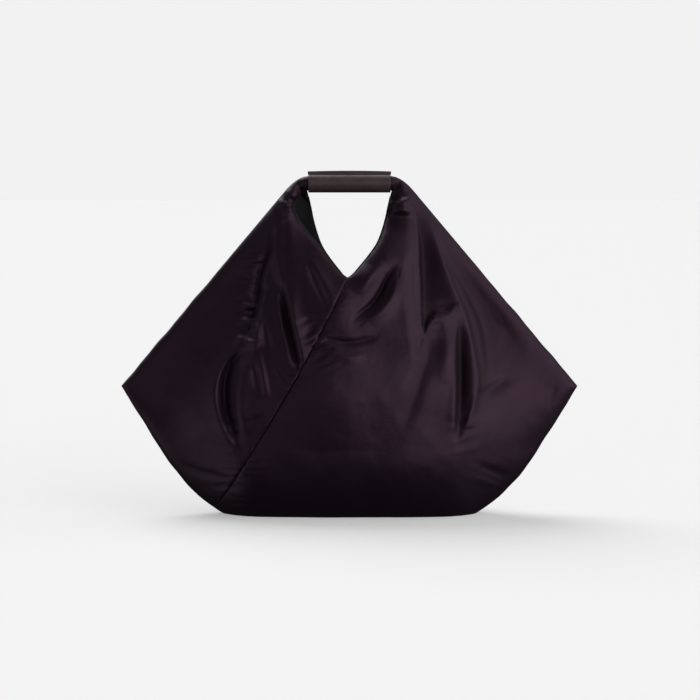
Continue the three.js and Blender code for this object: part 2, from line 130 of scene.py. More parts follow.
def rounded_corner(along: Array, radius: float, slope: float) -> Array:
    """Leaves a level line smoothly for a straight slope.

    Args:
        along: how far each place lies past the start of the rounding.
        radius: half the rounding's length.
        slope: the steepness after it.

    Returns:
        How far the line has left the level.
    """
    bend = slope * np.maximum(along, 0.0) ** 2 / (4 * radius)
    return np.where(along >= 2 * radius, slope * (along - radius), bend)


# Sizes


@dataclass(frozen=True)
class BagSizes:
    """The bag's driving sizes in millimetres, as in the frame's solids."""

    width: float = 552.0
    depth: float = 168.0
    tip_height: float = 155.0
    base_length: float = 334.0
    base_round: float = 55.0
    base_sag: float = 12.0
    belly_height: float = 97.0
    seam_foot: float = 7.0
    seam_bow: float = 7.0
    grip_height: float = 399.5
    grip_drop: float = 112.0
    back_dip: float = 8.0
    notch_offset: float = 2.0
    sleeve_length: float = 98.0
    sleeve_diameter: float = 22.0
    sleeve_wall: float = 1.4
    flange_height: float = 4.3
    flange_width: float = 2.8
    flange_bow: float = 0.8
    flange_overhang: float = 1.2
    neck_slit: float = 0.03
    shoulder_reach: float = 13.0
    shoulder_round: float = 15.0
    seam_gap: float = 0.4
    fit_gap: float = 0.35

    @property
    def half_width(self) -> float:
        """Half the width from tip to tip."""
        return self.width / 2

    @property
    def half_depth(self) -> float:
        """Half the depth where the body is fullest."""
        return self.depth / 2

    @property
    def neck_radius(self) -> float:
        """The radius of the gathered cloth inside the sleeve."""
        return self.sleeve_diameter / 2 - self.sleeve_wall - self.fit_gap

    @property
    def neck_top(self) -> float:
        """Height of the gathered cloth's upper side."""
        return self.grip_height + self.neck_radius

    @property
    def neck_bottom(self) -> float:
        """Height of the gathered cloth's lower side."""
        return self.grip_height - self.neck_radius * (1 - 2 * self.neck_slit)

    @property
    def shoulder(self) -> float:
        """How far out the shoulder's corner is."""
        return self.sleeve_length / 2 + self.shoulder_reach

    @property
    def notch_height(self) -> float:
        """Height of the front notch of the opening."""
        return self.grip_height - self.grip_drop

    @property
    def lower_slope(self) -> float:
        """How steeply the lower outline climbs to the tip."""
        return (self.tip_height + self.base_sag) / (self.half_width - self.base_length / 2)

    @property
    def upper_slope(self) -> float:
        """How steeply the upper outline falls to the tip."""
        return (self.neck_top - self.tip_height) / (self.half_width - self.shoulder)

    @property
    def foot_reach(self) -> float:
        """How far out the slanting seams reach the lower outline."""
        climb = (self.seam_foot + self.base_sag) * 4 * self.base_round / self.lower_slope
        return self.base_length / 2 - self.base_round + math.sqrt(climb)


# Shares along a panel, from the base at 0 to the sleeve's middle at 1.
AT_TIP, AT_NOTCH, AT_NECK, AT_SLEEVE = 0.34, 0.6, 0.7, 0.88
SEAM_AT_TIP, EDGE_AT_NOTCH = 0.5, 0.42
BASE_CROWDING = 1.35  # above 1 for rows that lie closer near the base

# Stretches of those shares over which something comes or goes.
GATHERING = (AT_NECK - 0.04, AT_SLEEVE - 0.02)
SLACK_ENDS = (AT_NOTCH - 0.1, AT_NECK)
NECK_FOLDS_START = (AT_NOTCH + 0.04, AT_NECK)
NECK_FOLDS_END = (AT_SLEEVE - 0.015, AT_SLEEVE)
PLEATS_START = (AT_NECK - 0.02, AT_SLEEVE - 0.05)
PLEATS_END = (AT_SLEEVE - 0.03, AT_SLEEVE)
EDGE_LOOSENS = (0.02, 0.08)
EDGE_TIGHTENS = (AT_NECK - 0.08, AT_NECK)
TIP_CALM = (0.0, 0.04)
SEAM_STARTS = (0.0, 0.05)
SEAM_ENDS = (AT_NOTCH - 0.01, AT_NOTCH + 0.02)
HEM_ENDS = (AT_SLEEVE - 0.04, AT_SLEEVE)

# Columns: share of the grip's height, share of half the depth, roll from the upper edge.
FULLNESS = (
    (-0.04, 1.0, 0.37), (0.2, 1.0, 0.37), (0.37, 0.96, 0.37), (0.5, 0.85, 0.36), (0.6, 0.71, 0.33),
    (0.72, 0.5, 0.26), (0.8, 0.37, 0.17), (0.88, 0.28, 0.1), (0.94, 0.21, 0.06), (1.03, 0.13, 0.03),
)
# Columns: share of half the width, share of the depth.
SLENDERNESS = (
    (0.0, 1.0), (0.25, 0.98), (0.45, 0.86), (0.6, 0.64), (0.75, 0.43), (0.88, 0.33), (1.0, 0.28),
)
# Columns: share of the mouth's height, left edge, right edge, both shares of half the sleeve.
MOUTH = (
    (0.0, 0.0, 0.0), (0.06, 0.19, 0.17), (0.14, 0.34, 0.32), (0.27, 0.57, 0.54), (0.4, 0.78, 0.72),
    (0.55, 1.06, 0.84), (0.7, 1.28, 0.92), (0.82, 1.36, 0.95), (0.93, 1.22, 0.99), (1.0, 1.04, 1.03),
)


# Folds


class Side(Enum):
    """Which side of a face's slanting seam a patch of cloth is on."""

    LEFT = -1
    RIGHT = 1


@dataclass(frozen=True)
class PhotoScale:
    """How pixels of the photo lie on the front of the bag.

    Attributes:
        middle: the pixel of the aimed-at place, across and down alike.
        pixel: a pixel's size in millimetres in the bag's middle plane.
        stand_out: how far in front of that plane the front's cloth is taken to lie.
        eye: how far away the camera is.
        fall: how far the line of sight falls for each millimetre of its way.
        aim_x: the aimed-at place across the plan.
        aim_z: its height.
    """

    middle: float = 350.0
    pixel: float = 1.209
    stand_out: float = 66.0
    eye: float = 3170.0
    fall: float = 0.07
    aim_x: float = 0.7
    aim_z: float = 198.5

    def on_front(self, across: float, down: float) -> tuple[float, float]:
        """Finds where a pixel lies on the front.

        Args:
            across: the pixel's column.
            down: its row.

        Returns:
            Its place across the plan and its height.
        """
        scale = self.pixel * (1 - self.stand_out / self.eye)
        lifted = self.aim_z + self.fall * self.stand_out
        return self.aim_x + (across - self.middle) * scale, lifted + (self.middle - down) * scale


PHOTO = PhotoScale()
FOLD_PIECES = 4  # straight pieces to each stretch of a fold's path
FOLD_REACH = 3.2  # how many of its widths away a fold still counts
FOLD_END = 0.03  # how far past its ends a fold would fade out, as a share of its path
FOLD_FADE = 0.8  # below 1 for folds that keep their height almost to their ends


@dataclass(frozen=True)
class Fold:
    """A long fold in a face, its sizes in millimetres.

    Attributes:
        name: what the fold is called.
        height: how far it stands out, negative in a crease.
        left: how wide it is on its left, going down, or below it, going right.
        right: how wide it is on its other side.
        round: 2 for a soft crest, less for a crisp one.
        path: photo pixels (across, down) from the fold's top to its foot.
    """

    name: str
    height: float
    left: float
    right: float
    round: float
    path: tuple[tuple[float, float], ...]

    def relief(self, x: Array, z: Array, least: float = 0.0) -> Array:
        """Works out the fold's height over a face.

        Args:
            x: places across the face.
            z: heights on the face.
            least: the narrowest that either side of the fold is made.

        Returns:
            How far the fold stands out at each place.
        """
        line = rounded_path([PHOTO.on_front(*pixel) for pixel in self.path], FOLD_PIECES)
        lengths = np.linalg.norm(np.diff(line, axis=0), axis=1)
        starts = np.concatenate([[0.0], np.cumsum(lengths)])
        reach = FOLD_REACH * max(self.left, self.right)
        low, high = line.min(axis=0) - reach, line.max(axis=0) + reach
        near = (x > low[0]) & (x < high[0]) & (z > low[1]) & (z < high[1])
        result = np.zeros_like(x)
        if not near.any():
            return result
        px, pz = x[near], z[near]
        best = np.full(px.shape, np.inf)
        side = np.zeros(px.shape)
        along = np.zeros(px.shape)
        for (ax, az), (bx, bz), length, start in zip(line, line[1:], lengths, starts):
            dx, dz = (bx - ax) / length, (bz - az) / length
            u = np.clip((px - ax) * dx + (pz - az) * dz, 0.0, length)
            off_x, off_z = px - ax - dx * u, pz - az - dz * u
            gap = np.hypot(off_x, off_z)
            closer = gap < best
            best = np.where(closer, gap, best)
            side = np.where(closer, dx * off_z - dz * off_x, side)
            along = np.where(closer, (start + u) / starts[-1], along)
        width = np.maximum(np.where(side > 0, self.right, self.left), least)
        fade = np.sin(math.pi * np.clip(along * (1 - 2 * FOLD_END) + FOLD_END, 0.0, 1.0)) ** FOLD_FADE
        result[near] = self.height * fade * np.exp(-((best / width) ** self.round))
        return result


FRONT_FOLDS = (
    # Left of the seam.
    Fold("left_wing_valley", -6, 30, 16, 2, (
        (262, 235), (250, 270), (240, 310), (228, 350), (222, 390), (228, 430),
    )),
    Fold("centre_crest", 10, 42, 50, 2, ((350, 264), (347, 300), (341, 340), (336, 390), (335, 450))),
    Fold("shoulder_crease", -12, 7, 3, 1.4, (
        (273, 230), (268, 250), (262, 268), (258, 284), (257, 300), (252, 318), (247, 335), (240, 350),
    )),
    Fold("crumple_a", 3, 3, 3, 1.6, ((247, 277), (257, 279), (268, 275))),
    Fold("crumple_b", -4, 3, 3, 1.6, ((246, 292), (256, 293), (266, 289))),
    Fold("crumple_c", 3, 3, 3, 1.5, ((242, 305), (250, 308), (261, 304))),
    Fold("crumple_d", -4, 3, 3, 1.6, ((240, 318), (250, 316), (259, 320))),
    Fold("crumple_e", 3, 3, 3, 1.5, ((239, 326), (248, 324), (257, 329))),
    Fold("crumple_f", 3.5, 3.5, 3, 1.5, ((233, 342), (242, 340), (253, 345))),
    Fold("crescent", -12, 4.5, 9, 1.8, (
        (248, 352), (238, 357), (229, 368), (224, 386), (225, 410), (232, 431), (238, 446),
    )),
    Fold("crescent_lip", 5, 10, 3.5, 1.5, (
        (236, 351), (222, 366), (215, 385), (214, 402), (219, 421), (228, 438), (238, 451),
    )),
    Fold("crescent_pouch", 4, 7, 10, 2, ((246, 362), (240, 385), (239, 405), (243, 430))),
    Fold("neck_ridge", 6, 5, 14, 1.6, (
        (275, 205), (275, 232), (276, 256), (281, 280), (288, 300), (295, 325), (302, 358),
    )),
    Fold("neck_wedge", -12, 6, 2.5, 1.6, (
        (280, 286), (284, 303), (288, 322), (292, 340), (296, 356), (299, 371),
    )),
    Fold("neck_wedge_lip", 4, 2.5, 9, 1.5, ((287, 294), (292, 315), (297, 335), (302, 358), (304, 371))),
    Fold("middle_ridge", 3.5, 6, 2.5, 1.5, ((277, 290), (280, 313), (285, 337), (292, 360))),
    Fold("outer_ridge", 4, 4, 6, 1.6, ((263, 292), (261, 313), (255, 344), (249, 372))),
    Fold("middle_hollow", -4, 5, 4, 1.8, ((262, 322), (265, 336), (270, 352))),
    Fold("low_ridge", 4, 6, 3, 1.5, ((258, 350), (263, 372), (268, 398))),
    Fold("low_hollow", -4, 5, 3, 1.6, ((253, 364), (257, 382), (262, 397))),
    Fold("seam_nick_a", -2.5, 3, 3, 1.6, ((273, 364), (288, 385))),
    Fold("seam_nick_b", -2.5, 3, 3, 1.6, ((282, 360), (295, 377))),
    Fold("seam_nick_c", -2, 3, 3, 1.6, ((290, 350), (301, 366))),
    Fold("seam_nick_d", -2, 3, 3, 1.6, ((264, 415), (248, 424))),
    Fold("seam_nick_e", -2, 3, 3, 1.6, ((302, 337), (318, 329))),
    Fold("notch_crease", -4.5, 3.5, 2.5, 1.4, ((308, 266), (315, 282), (322, 296), (327, 307))),
    Fold("notch_ridge", 3, 3, 7, 1.6, ((312, 260), (320, 277), (328, 292), (334, 306))),
    Fold("notch_bank", 8, 60, 24, 2, ((349, 260), (343, 285), (335, 308), (326, 326))),
    Fold("notch_cross", 1.5, 6, 6, 2, ((290, 319), (298, 317), (308, 314), (320, 317), (328, 324))),
    # Right of the seam.
    Fold("right_wing_valley", -7, 18, 30, 2, ((470, 260), (487, 310), (497, 350), (497, 390), (490, 425))),
    Fold("opening_bank", 9, 14, 26, 2, ((396, 214), (390, 235), (380, 255), (368, 272), (352, 290))),
    Fold("slash", -8, 2.5, 3.5, 1.4, (
        (394, 268), (387, 279), (380, 293), (372, 304), (362, 312), (354, 318),
    )),
    Fold("slash_upper", 5, 9, 8, 2, ((384, 262), (374, 272), (366, 284), (360, 296))),
    Fold("slash_lower", 5, 4, 11, 1.8, ((398, 280), (392, 296), (381, 310), (368, 320))),
    Fold("arc", -5, 2.5, 5, 1.5, ((322, 338), (334, 341), (349, 343), (363, 341), (375, 338))),
    Fold("arc_band", 2.5, 8, 4, 1.8, ((325, 345), (337, 351), (351, 356), (366, 354))),
    Fold("pleat", 7, 38, 13, 2, ((400, 208), (405, 230), (409, 255), (410, 285), (411, 312), (413, 338))),
    Fold("pleat_edge", -10, 2, 17, 1.6, (
        (413, 200), (419, 224), (422, 245), (423, 265), (424, 290), (424, 315), (425, 338),
    )),
    Fold("pleat_hook", 8, 13, 2.5, 1.6, ((424, 338), (429, 324), (437, 316), (447, 316), (457, 307))),
    Fold("long_ridge", 8, 13, 4, 1.6, (
        (426, 210), (433, 230), (439, 248), (445, 266), (452, 284), (460, 303),
        (467, 320), (471, 338), (475, 358), (478, 378), (477, 393), (472, 410),
    )),
    Fold("ridge_valley", -5, 4, 12, 1.8, (
        (446, 250), (459, 275), (472, 300), (484, 328), (489, 360), (489, 385),
    )),
    Fold("lens", -13, 3, 10, 1.8, ((461, 326), (460, 350), (460, 372), (460, 392), (459, 412), (457, 438))),
    Fold("lens_lip", 3, 8, 3, 1.6, ((455, 325), (456, 356), (456, 380), (455, 405), (455, 433))),
    Fold("lens_hem", 3, 4, 7, 1.6, ((477, 394), (471, 415), (462, 434))),
    Fold("pouch", 6, 12, 8, 2, ((445, 322), (448, 350), (446, 385))),
    Fold("drag", -2.5, 10, 8, 2, ((429, 336), (425, 360), (415, 395), (402, 430))),
    Fold("wing_crease", -3, 8, 5, 2, ((478, 397), (487, 394), (498, 388), (511, 382))),
    Fold("tip_line", -1.2, 3, 3, 2, ((562, 382), (557, 398), (553, 414))),
    # Along the base.
    Fold("base_crease_left", -3, 4, 5, 1.6, ((178, 469), (197, 476), (214, 479), (231, 482))),
    Fold("base_nick_left", -2, 4, 4, 2, ((212, 491), (226, 488), (240, 489))),
    Fold("base_crease_right", -2.5, 5, 6, 2, ((478, 468), (493, 475), (508, 483))),
)
# The necks stand out less than PHOTO.stand_out, so these pixels lie about 5 lower than in the photo.
NECK_FOLDS = (
    Fold("left_pinch", 5, 9, 3, 1.6, ((276, 200), (284, 204), (291, 206), (303, 210))),
    Fold("left_pinch_upper", 3, 4, 5, 1.8, ((284, 191), (291, 196), (303, 199))),
    Fold("left_dark", -5, 5, 5, 1.8, ((297, 180), (301, 194), (305, 206))),
    Fold("right_pinch", 8, 13, 4, 1.6, ((386, 206), (401, 203), (418, 197))),
    Fold("right_pinch_low", 5, 4, 5, 1.8, ((390, 214), (401, 211), (412, 213))),
    Fold("right_dark", -5, 5, 5, 1.8, ((400, 180), (395, 192), (392, 201))),
)


@dataclass(frozen=True)
class Pucker:
    """A patch of short gathers in a face.

    Attributes:
        centre: the patch's middle (x, z).
        reach: how far it spreads along and across its gathers.
        turn: the gathers' direction in degrees from the X axis.
        pitch: distance between gathers.
        height: how far they stand out.
        drift: how far the gathers wander, in radians of a gather.
        bends: how often they wander along the patch.
        stagger: how far each gather's wandering is behind the last one's.
        second: height of the finer gathers among them, as a share.
        second_turns: the finer gathers' half turns to a pitch.
    """

    centre: tuple[float, float]
    reach: tuple[float, float]
    turn: float
    pitch: float
    height: float
    drift: float = 0.9
    bends: float = 1.7
    stagger: float = 0.21
    second: float = 0.35
    second_turns: float = 4.6

    def relief(self, x: Array, z: Array) -> Array:
        """Works out the gathers' height over a face.

        Args:
            x: places across the face.
            z: heights on the face.

        Returns:
            How far the gathers stand out at each place.
        """
        c, s = math.cos(math.radians(self.turn)), math.sin(math.radians(self.turn))
        dx, dz = x - self.centre[0], z - self.centre[1]
        along, across = dx * c + dz * s, dz * c - dx * s
        fade = np.exp(-((along / self.reach[0]) ** 2) - (across / self.reach[1]) ** 2)
        drift = self.drift * np.sin(along / self.reach[0] * self.bends + across * self.stagger)
        wave = np.sin(2 * math.pi * across / self.pitch + drift)
        finer = np.sin(self.second_turns * math.pi * across / self.pitch + 1.0)
        return self.height * fade * (wave + self.second * finer)


FRONT_PUCKERS = (
    Pucker((-118, 250), (13, 36), 4, 15, 1.5),
    Pucker((-112, 305), (12, 26), 12, 13, 1.0),
    Pucker((-36, 212), (12, 28), 30, 11, 1.1),
    Pucker((-70, 366), (16, 12), 20, 9, 1.0),
    Pucker((66, 378), (16, 15), -22, 9, 1.3),
    Pucker((-128, 62), (22, 12), 4, 9, 0.8),
    Pucker((-112, 20), (22, 10), 3, 9, 0.7),
    Pucker((168, 50), (22, 16), -24, 13, 0.8),
    Pucker((104, 246), (12, 26), -8, 13, 0.8),
    Pucker((135, 110), (14, 24), 12, 15, 0.9),
    Pucker((-140, 108), (14, 24), -10, 15, 0.9),
)


# The padding's unevenness, in millimetres.
WAVELENGTHS = (110.0, 84.0, 63.0, 47.0, 38.0, 30.0, 24.0, 18.0, 13.0, 9.5)
WAVES_OF_EACH = 3
WAVE_HEIGHT = 0.32
WAVE_FALL = 1.5  # how fast shorter waves grow lower
WAVE_BEND, WAVE_BENDS = 0.5, 2.1  # how far a crest bends, and how often


def soft_waves(x: Array, z: Array, seed: int) -> Array:
    """Gives the padding's slight unevenness, with no direction of its own.

    Args:
        x: places across the face.
        z: heights on the face.
        seed: which unevenness is drawn.

    Returns:
        A relief of about one millimetre.
    """
    draw = np.random.default_rng(seed)
    total = np.zeros_like(x)
    for length in WAVELENGTHS:
        height = (length / WAVELENGTHS[0]) ** WAVE_FALL
        for _ in range(WAVES_OF_EACH):
            turn, phase = draw.uniform(0, 2 * math.pi, 2)
            across = x * math.cos(turn) + z * math.sin(turn)
            along = z * math.cos(turn) - x * math.sin(turn)
            bend = WAVE_BEND * np.sin(along / length * WAVE_BENDS + phase)
            total += height * np.sin(2 * math.pi * across / length + phase + bend)
    return WAVE_HEIGHT * total


# The bag's form


@dataclass(frozen=True)
class Layer:
    """How far one layer of cloth lies inside the bag's outer skin, in millimetres.

    Attributes:
        inset: in from the folded edges.
        slack: further in from them below the neck.
        lift: up from the base.
        take: in from the faces.
        ease: in from the faces, as a share of the depth.
        gap: between the two panels at a seam.
    """

    inset: float = 0.0
    slack: float = 0.0
    lift: float = 0.0
    take: float = 0.0
    ease: float = 0.0
    gap: float = 0.0


class FaceKind(Enum):
    """Which face of the bag a patch of cloth shows on."""

    FRONT = "front"
    BACK = "back"


WAVE_SEEDS = {FaceKind.FRONT: 11, FaceKind.BACK: 29}


@dataclass(frozen=True)
class SeamStyle:
    """How the cloth turns in at the seams and at the opening's edge, in millimetres.

    Attributes:
        pinch: depth, width and crispness of the groove at a seam.
        pucker: height and pitch of the short gathers beside it.
        pucker_place: how far from the seam they are highest, and how far they spread.
        wander: height and length of two waves that make their pitch uneven.
        hem: depth, width and crispness of the turned edge along the opening.
    """

    pinch: tuple[float, float, float] = (1.0, 1.8, 1.3)
    pucker: tuple[float, float] = (0.3, 8.5)
    pucker_place: tuple[float, float] = (5.0, 6.0)
    wander: tuple[tuple[float, float], tuple[float, float]] = ((0.7, 23.0), (0.5, 9.1))
    hem: tuple[float, float, float] = (1.2, 2.6, 1.6)


@dataclass(frozen=True)
class BagForm:
    """The bag's surfaces as functions of a share s across and a share t along each panel.

    Attributes:
        sizes: the bag's driving sizes.
        seams: how the cloth turns in at its borders.
        tip_belly: how much higher the fullest place lies near a tip, as a factor.
        crown: 0.5 for a flat crown that is round at its rim, up to 1 for a pointed one.
        tip_crown: how much is added to it towards the tips.
        relief_full: how deep the body is where folds have their full height, as a share of half its depth.
        crease_limit: a crease leaves one part in this many of the depth.
        edge_roll: roundness of the folded edges.
        edge_clear: heights between which that roundness sets in above the base.
        edge_bulge: how far the lower edge bows out.
        edge_wander: how far the folded edges wander.
        edge_waves: how fast their two waves run along the edge.
        edge_second: the second wave's height, as a share of the first's.
        edge_inwards: the power by which that dies away into the face.
        edge_out: the outward direction of the edges, across and up or down.
        pleats: how many pleats run out of the sleeve.
        pleating_height: how far they stand out.
        back_least: the narrowest that either side of a fold is on the back.
        loose_least: the same for a loose layer inside.
        narrow: the widest fold whose bottom gets painted shade in the satin's colour.
        dark_depth: the depth at which that painted shade is darkest.
    """

    sizes: BagSizes = BagSizes()
    seams: SeamStyle = SeamStyle()
    tip_belly: float = 1.6
    crown: float = 0.5
    tip_crown: float = 0.25
    relief_full: float = 0.125
    crease_limit: float = 3.0
    edge_roll: float = 5.0
    edge_clear: tuple[float, float] = (25.0, 60.0)
    edge_bulge: float = 2.6
    edge_wander: float = 0.3
    edge_waves: tuple[float, float] = (47.0, 101.0)
    edge_second: float = 0.7
    edge_inwards: int = 6
    edge_out: tuple[float, float] = (0.75, 0.66)
    pleats: int = 4
    pleating_height: float = 0.12
    back_least: float = 5.0
    loose_least: float = 9.0
    narrow: float = 24.0
    dark_depth: float = 8.0

    def lower_edge(self, x: Array) -> Array:
        """The lower outline: flat, rounded, then straight up to the tip.

        Args:
            x: places across the plan.

        Returns:
            Its height at each place.
        """
        z = self.sizes
        along = np.abs(x) - (z.base_length / 2 - z.base_round)
        return -z.base_sag + rounded_corner(along, z.base_round, z.lower_slope)

    def upper_edge(self, x: Array) -> Array:
        """The upper outline: level, rounded at the shoulder, then straight down to the tip.

        Args:
            x: places across the plan.

        Returns:
            Its height at each place.
        """
        z = self.sizes
        along = np.abs(x) - (z.shoulder - z.shoulder_round)
        return z.neck_top - rounded_corner(along, z.shoulder_round, z.upper_slope)

    def upper_fall(self, x: Array) -> Array:
        """How steeply the upper outline falls.

        Args:
            x: places across the plan.

        Returns:
            Its fall at each place, as a slope.
        """
        z = self.sizes
        along = np.clip(np.abs(x) - (z.shoulder - z.shoulder_round), 0.0, 2 * z.shoulder_round)
        return z.upper_slope * along / (2 * z.shoulder_round)

    def folded_edge(self, t: Array, inset: Array) -> tuple[Array, Array]:
        """The right folded edge from base corner to sleeve middle.

        Args:
            t: shares from base to sleeve.
            inset: how far the edge is moved in.

        Returns:
            The edge's places across and their heights.
        """
        z = self.sizes
        half = z.sleeve_length / 2
        at_notch = mix(z.half_width, z.shoulder, EDGE_AT_NOTCH)
        at_sleeve = half + z.shoulder_reach / 2
        x = np.select(
            [t <= AT_TIP, t <= AT_NOTCH, t <= AT_SLEEVE],
            [
                mix(z.foot_reach, z.half_width, t / AT_TIP),
                mix(z.half_width, z.shoulder, (t - AT_TIP) / (AT_NOTCH - AT_TIP) * EDGE_AT_NOTCH),
                mix(at_notch, at_sleeve, (t - AT_NOTCH) / (AT_SLEEVE - AT_NOTCH)),
            ],
            mix(at_sleeve, z.seam_gap / 2, (t - AT_SLEEVE) / (1 - AT_SLEEVE)),
        )
        lower = t <= AT_TIP
        height = np.where(lower, self.lower_edge(x), self.upper_edge(x))
        down = 1 / math.hypot(z.lower_slope, 1)
        fall = np.where(t >= AT_SLEEVE + TINY, 0.0, self.upper_fall(x))
        up = 1 / np.hypot(fall, 1)
        out_x = np.where(lower, z.lower_slope * down, fall * up)
        out_z = np.where(lower, -down, up)
        at_tip = np.abs(t - AT_TIP) < TINY
        tip_x, tip_z = z.lower_slope * down + fall * up, -down + up
        reach = tip_x * fall * up + tip_z * up
        out_x = np.where(at_tip, tip_x / reach, out_x)
        out_z = np.where(at_tip, tip_z / reach, out_z)
        return x - out_x * inset, height - out_z * inset

    def inner_border(self, face: FaceKind, side: Side, t: Array) -> tuple[Array, Array]:
        """The border that a patch has at the seam, along the opening and under the neck.

        Args:
            face: which face the patch shows on.
            side: which side of the seam the patch is on.
            t: shares from base to sleeve.

        Returns:
            The border's places across and their heights.
        """
        z = self.sizes
        notch = z.notch_height - (z.back_dip if face is FaceKind.BACK else 0.0)
        half = z.sleeve_length / 2
        along = np.where(
            t <= AT_TIP,
            t / AT_TIP * SEAM_AT_TIP,
            mix(SEAM_AT_TIP, 1.0, (t - AT_TIP) / (AT_NOTCH - AT_TIP)),
        )
        bow = z.seam_bow * 4 * along * (1 - along)
        seam_x = mix(-z.foot_reach, -z.notch_offset, along) + bow
        seam_z = mix(z.seam_foot, notch, along)
        column = 2 if side is Side.RIGHT else 1
        rise = (t - AT_NOTCH) / (AT_SLEEVE - AT_NOTCH)
        mouth_x = side.value * half * look_up(MOUTH, column, rise) - z.notch_offset * (1 - rise)
        mouth_z = mix(notch, z.neck_bottom, rise)
        inside = (t - AT_SLEEVE) / (1 - AT_SLEEVE)
        neck_x = side.value * mix(half * MOUTH[-1][column], z.seam_gap / 2, inside)
        x = np.select([t <= AT_NOTCH, t <= AT_SLEEVE], [seam_x, mouth_x], neck_x)
        height = np.select([t <= AT_NOTCH, t <= AT_SLEEVE], [seam_z, mouth_z], z.neck_bottom)
        return x, height

    def plan(self, face: FaceKind, side: Side, s: Array, t: Array, layer: Layer) -> tuple[Array, Array]:
        """Lays a patch out flat on the front's plan.

        Args:
            face: which face the patch shows on.
            side: which side of the seam the patch is on.
            s: shares from the inner border to the folded edge.
            t: shares from base to sleeve.
            layer: how far the layer is moved in.

        Returns:
            Places across and heights.
        """
        z = self.sizes
        inset = layer.inset + layer.slack * (1 - smooth(t, *SLACK_ENDS))
        zero = np.zeros(1)
        foot_z = self.lower_edge(np.array([z.foot_reach]))
        moved = self.folded_edge(zero, zero + layer.inset + layer.slack)
        still = self.folded_edge(zero, zero)
        move_x, move_z = moved[0] - still[0], moved[1] - still[1]
        near = np.maximum(0.0, 1 - t / (AT_TIP / 2)) ** 2
        inner_x, inner_z = self.inner_border(face, side, t)
        inner_x = inner_x + (layer.gap if side is Side.RIGHT else 0.0) - move_x * near
        inner_z = inner_z + move_z * near
        outer_x, outer_z = self.folded_edge(t, inset)
        x = mix(inner_x, side.value * outer_x, s)
        height = mix(inner_z, outer_z, s)
        if side is Side.RIGHT:
            across = mix(-z.foot_reach + layer.gap, z.foot_reach, s)
            dip = self.lower_edge(across) - foot_z + (layer.lift - move_z) * 4 * s * (1 - s)
            height = height + (1 - t) ** 3 * dip
        return x, height

    def body_depth(self, x: Array, z: Array) -> Array:
        """Half the body's depth, with no folds.

        Args:
            x: places across the plan.
            z: heights on the plan.

        Returns:
            The depth at each place.
        """
        size = self.sizes
        rise, out = z / size.grip_height, np.abs(x) / size.half_width
        full = size.half_depth * look_up(FULLNESS, 1, rise) * look_up(SLENDERNESS, 1, out)
        roll = size.grip_height * look_up(FULLNESS, 2, rise)
        belly = size.belly_height * mix(1.0, self.tip_belly, smooth(out, 0.4, 0.9))
        from_top = np.maximum(0.0, self.upper_edge(x) - z) / np.hypot(1.0, self.upper_fall(x))
        from_base = np.maximum(0.0, z - self.lower_edge(x))
        top = 1 - (1 - np.minimum(from_top / roll, 1.0)) ** 2
        base = 1 - (1 - np.minimum(from_base / belly, 1.0)) ** 2
        safe_top, safe_base = np.maximum(top, TINY), np.maximum(base, TINY)
        both = (safe_top**-2 + safe_base**-2 - 1) ** -0.5
        power = smooth(out, 0.35, 0.72) * self.tip_crown + self.crown
        power = mix(power, 1.0, smooth(rise, 0.22, 0.42))
        return np.where((top <= 0) | (base <= 0), 0.0, full * both**power)

    def neck_depth(self, s: Array, t: Array) -> Array:
        """Half the gathered neck's depth.

        Args:
            s: shares across.
            t: shares along.

        Returns:
            The depth at each place.
        """
        z = self.sizes
        across = z.neck_slit + (1 - z.neck_slit) * s
        radius = mix(2 * z.neck_radius, z.neck_radius, smooth(t, AT_NECK, AT_SLEEVE))
        return radius * np.sqrt(np.maximum(0.0, 1 - (2 * across - 1) ** 2))

    def relief(self, face: FaceKind, side: Side, x: Array, z: Array) -> Array:
        """All the folds and gathers of a face.

        Args:
            face: which face the patch shows on; the back's folds are at least back_least wide.
            side: which side of the seam the patch is on.
            x: places across the plan.
            z: heights on the plan.

        Returns:
            How far the cloth stands out at each place.
        """
        total = np.zeros_like(x)
        least = self.back_least if face is FaceKind.BACK else 0.0
        for fold in FRONT_FOLDS:
            total += fold.relief(x, z, least)
        for pucker in FRONT_PUCKERS:
            total += pucker.relief(x, z)
        return total + soft_waves(x, z, WAVE_SEEDS[face] + side.value)

    def creases(self, x: Array, z: Array) -> Array:
        """The creases alone, spread wider, which a loose layer inside follows."""
        return sum(fold.relief(x, z, self.loose_least) for fold in FRONT_FOLDS if fold.height < 0)

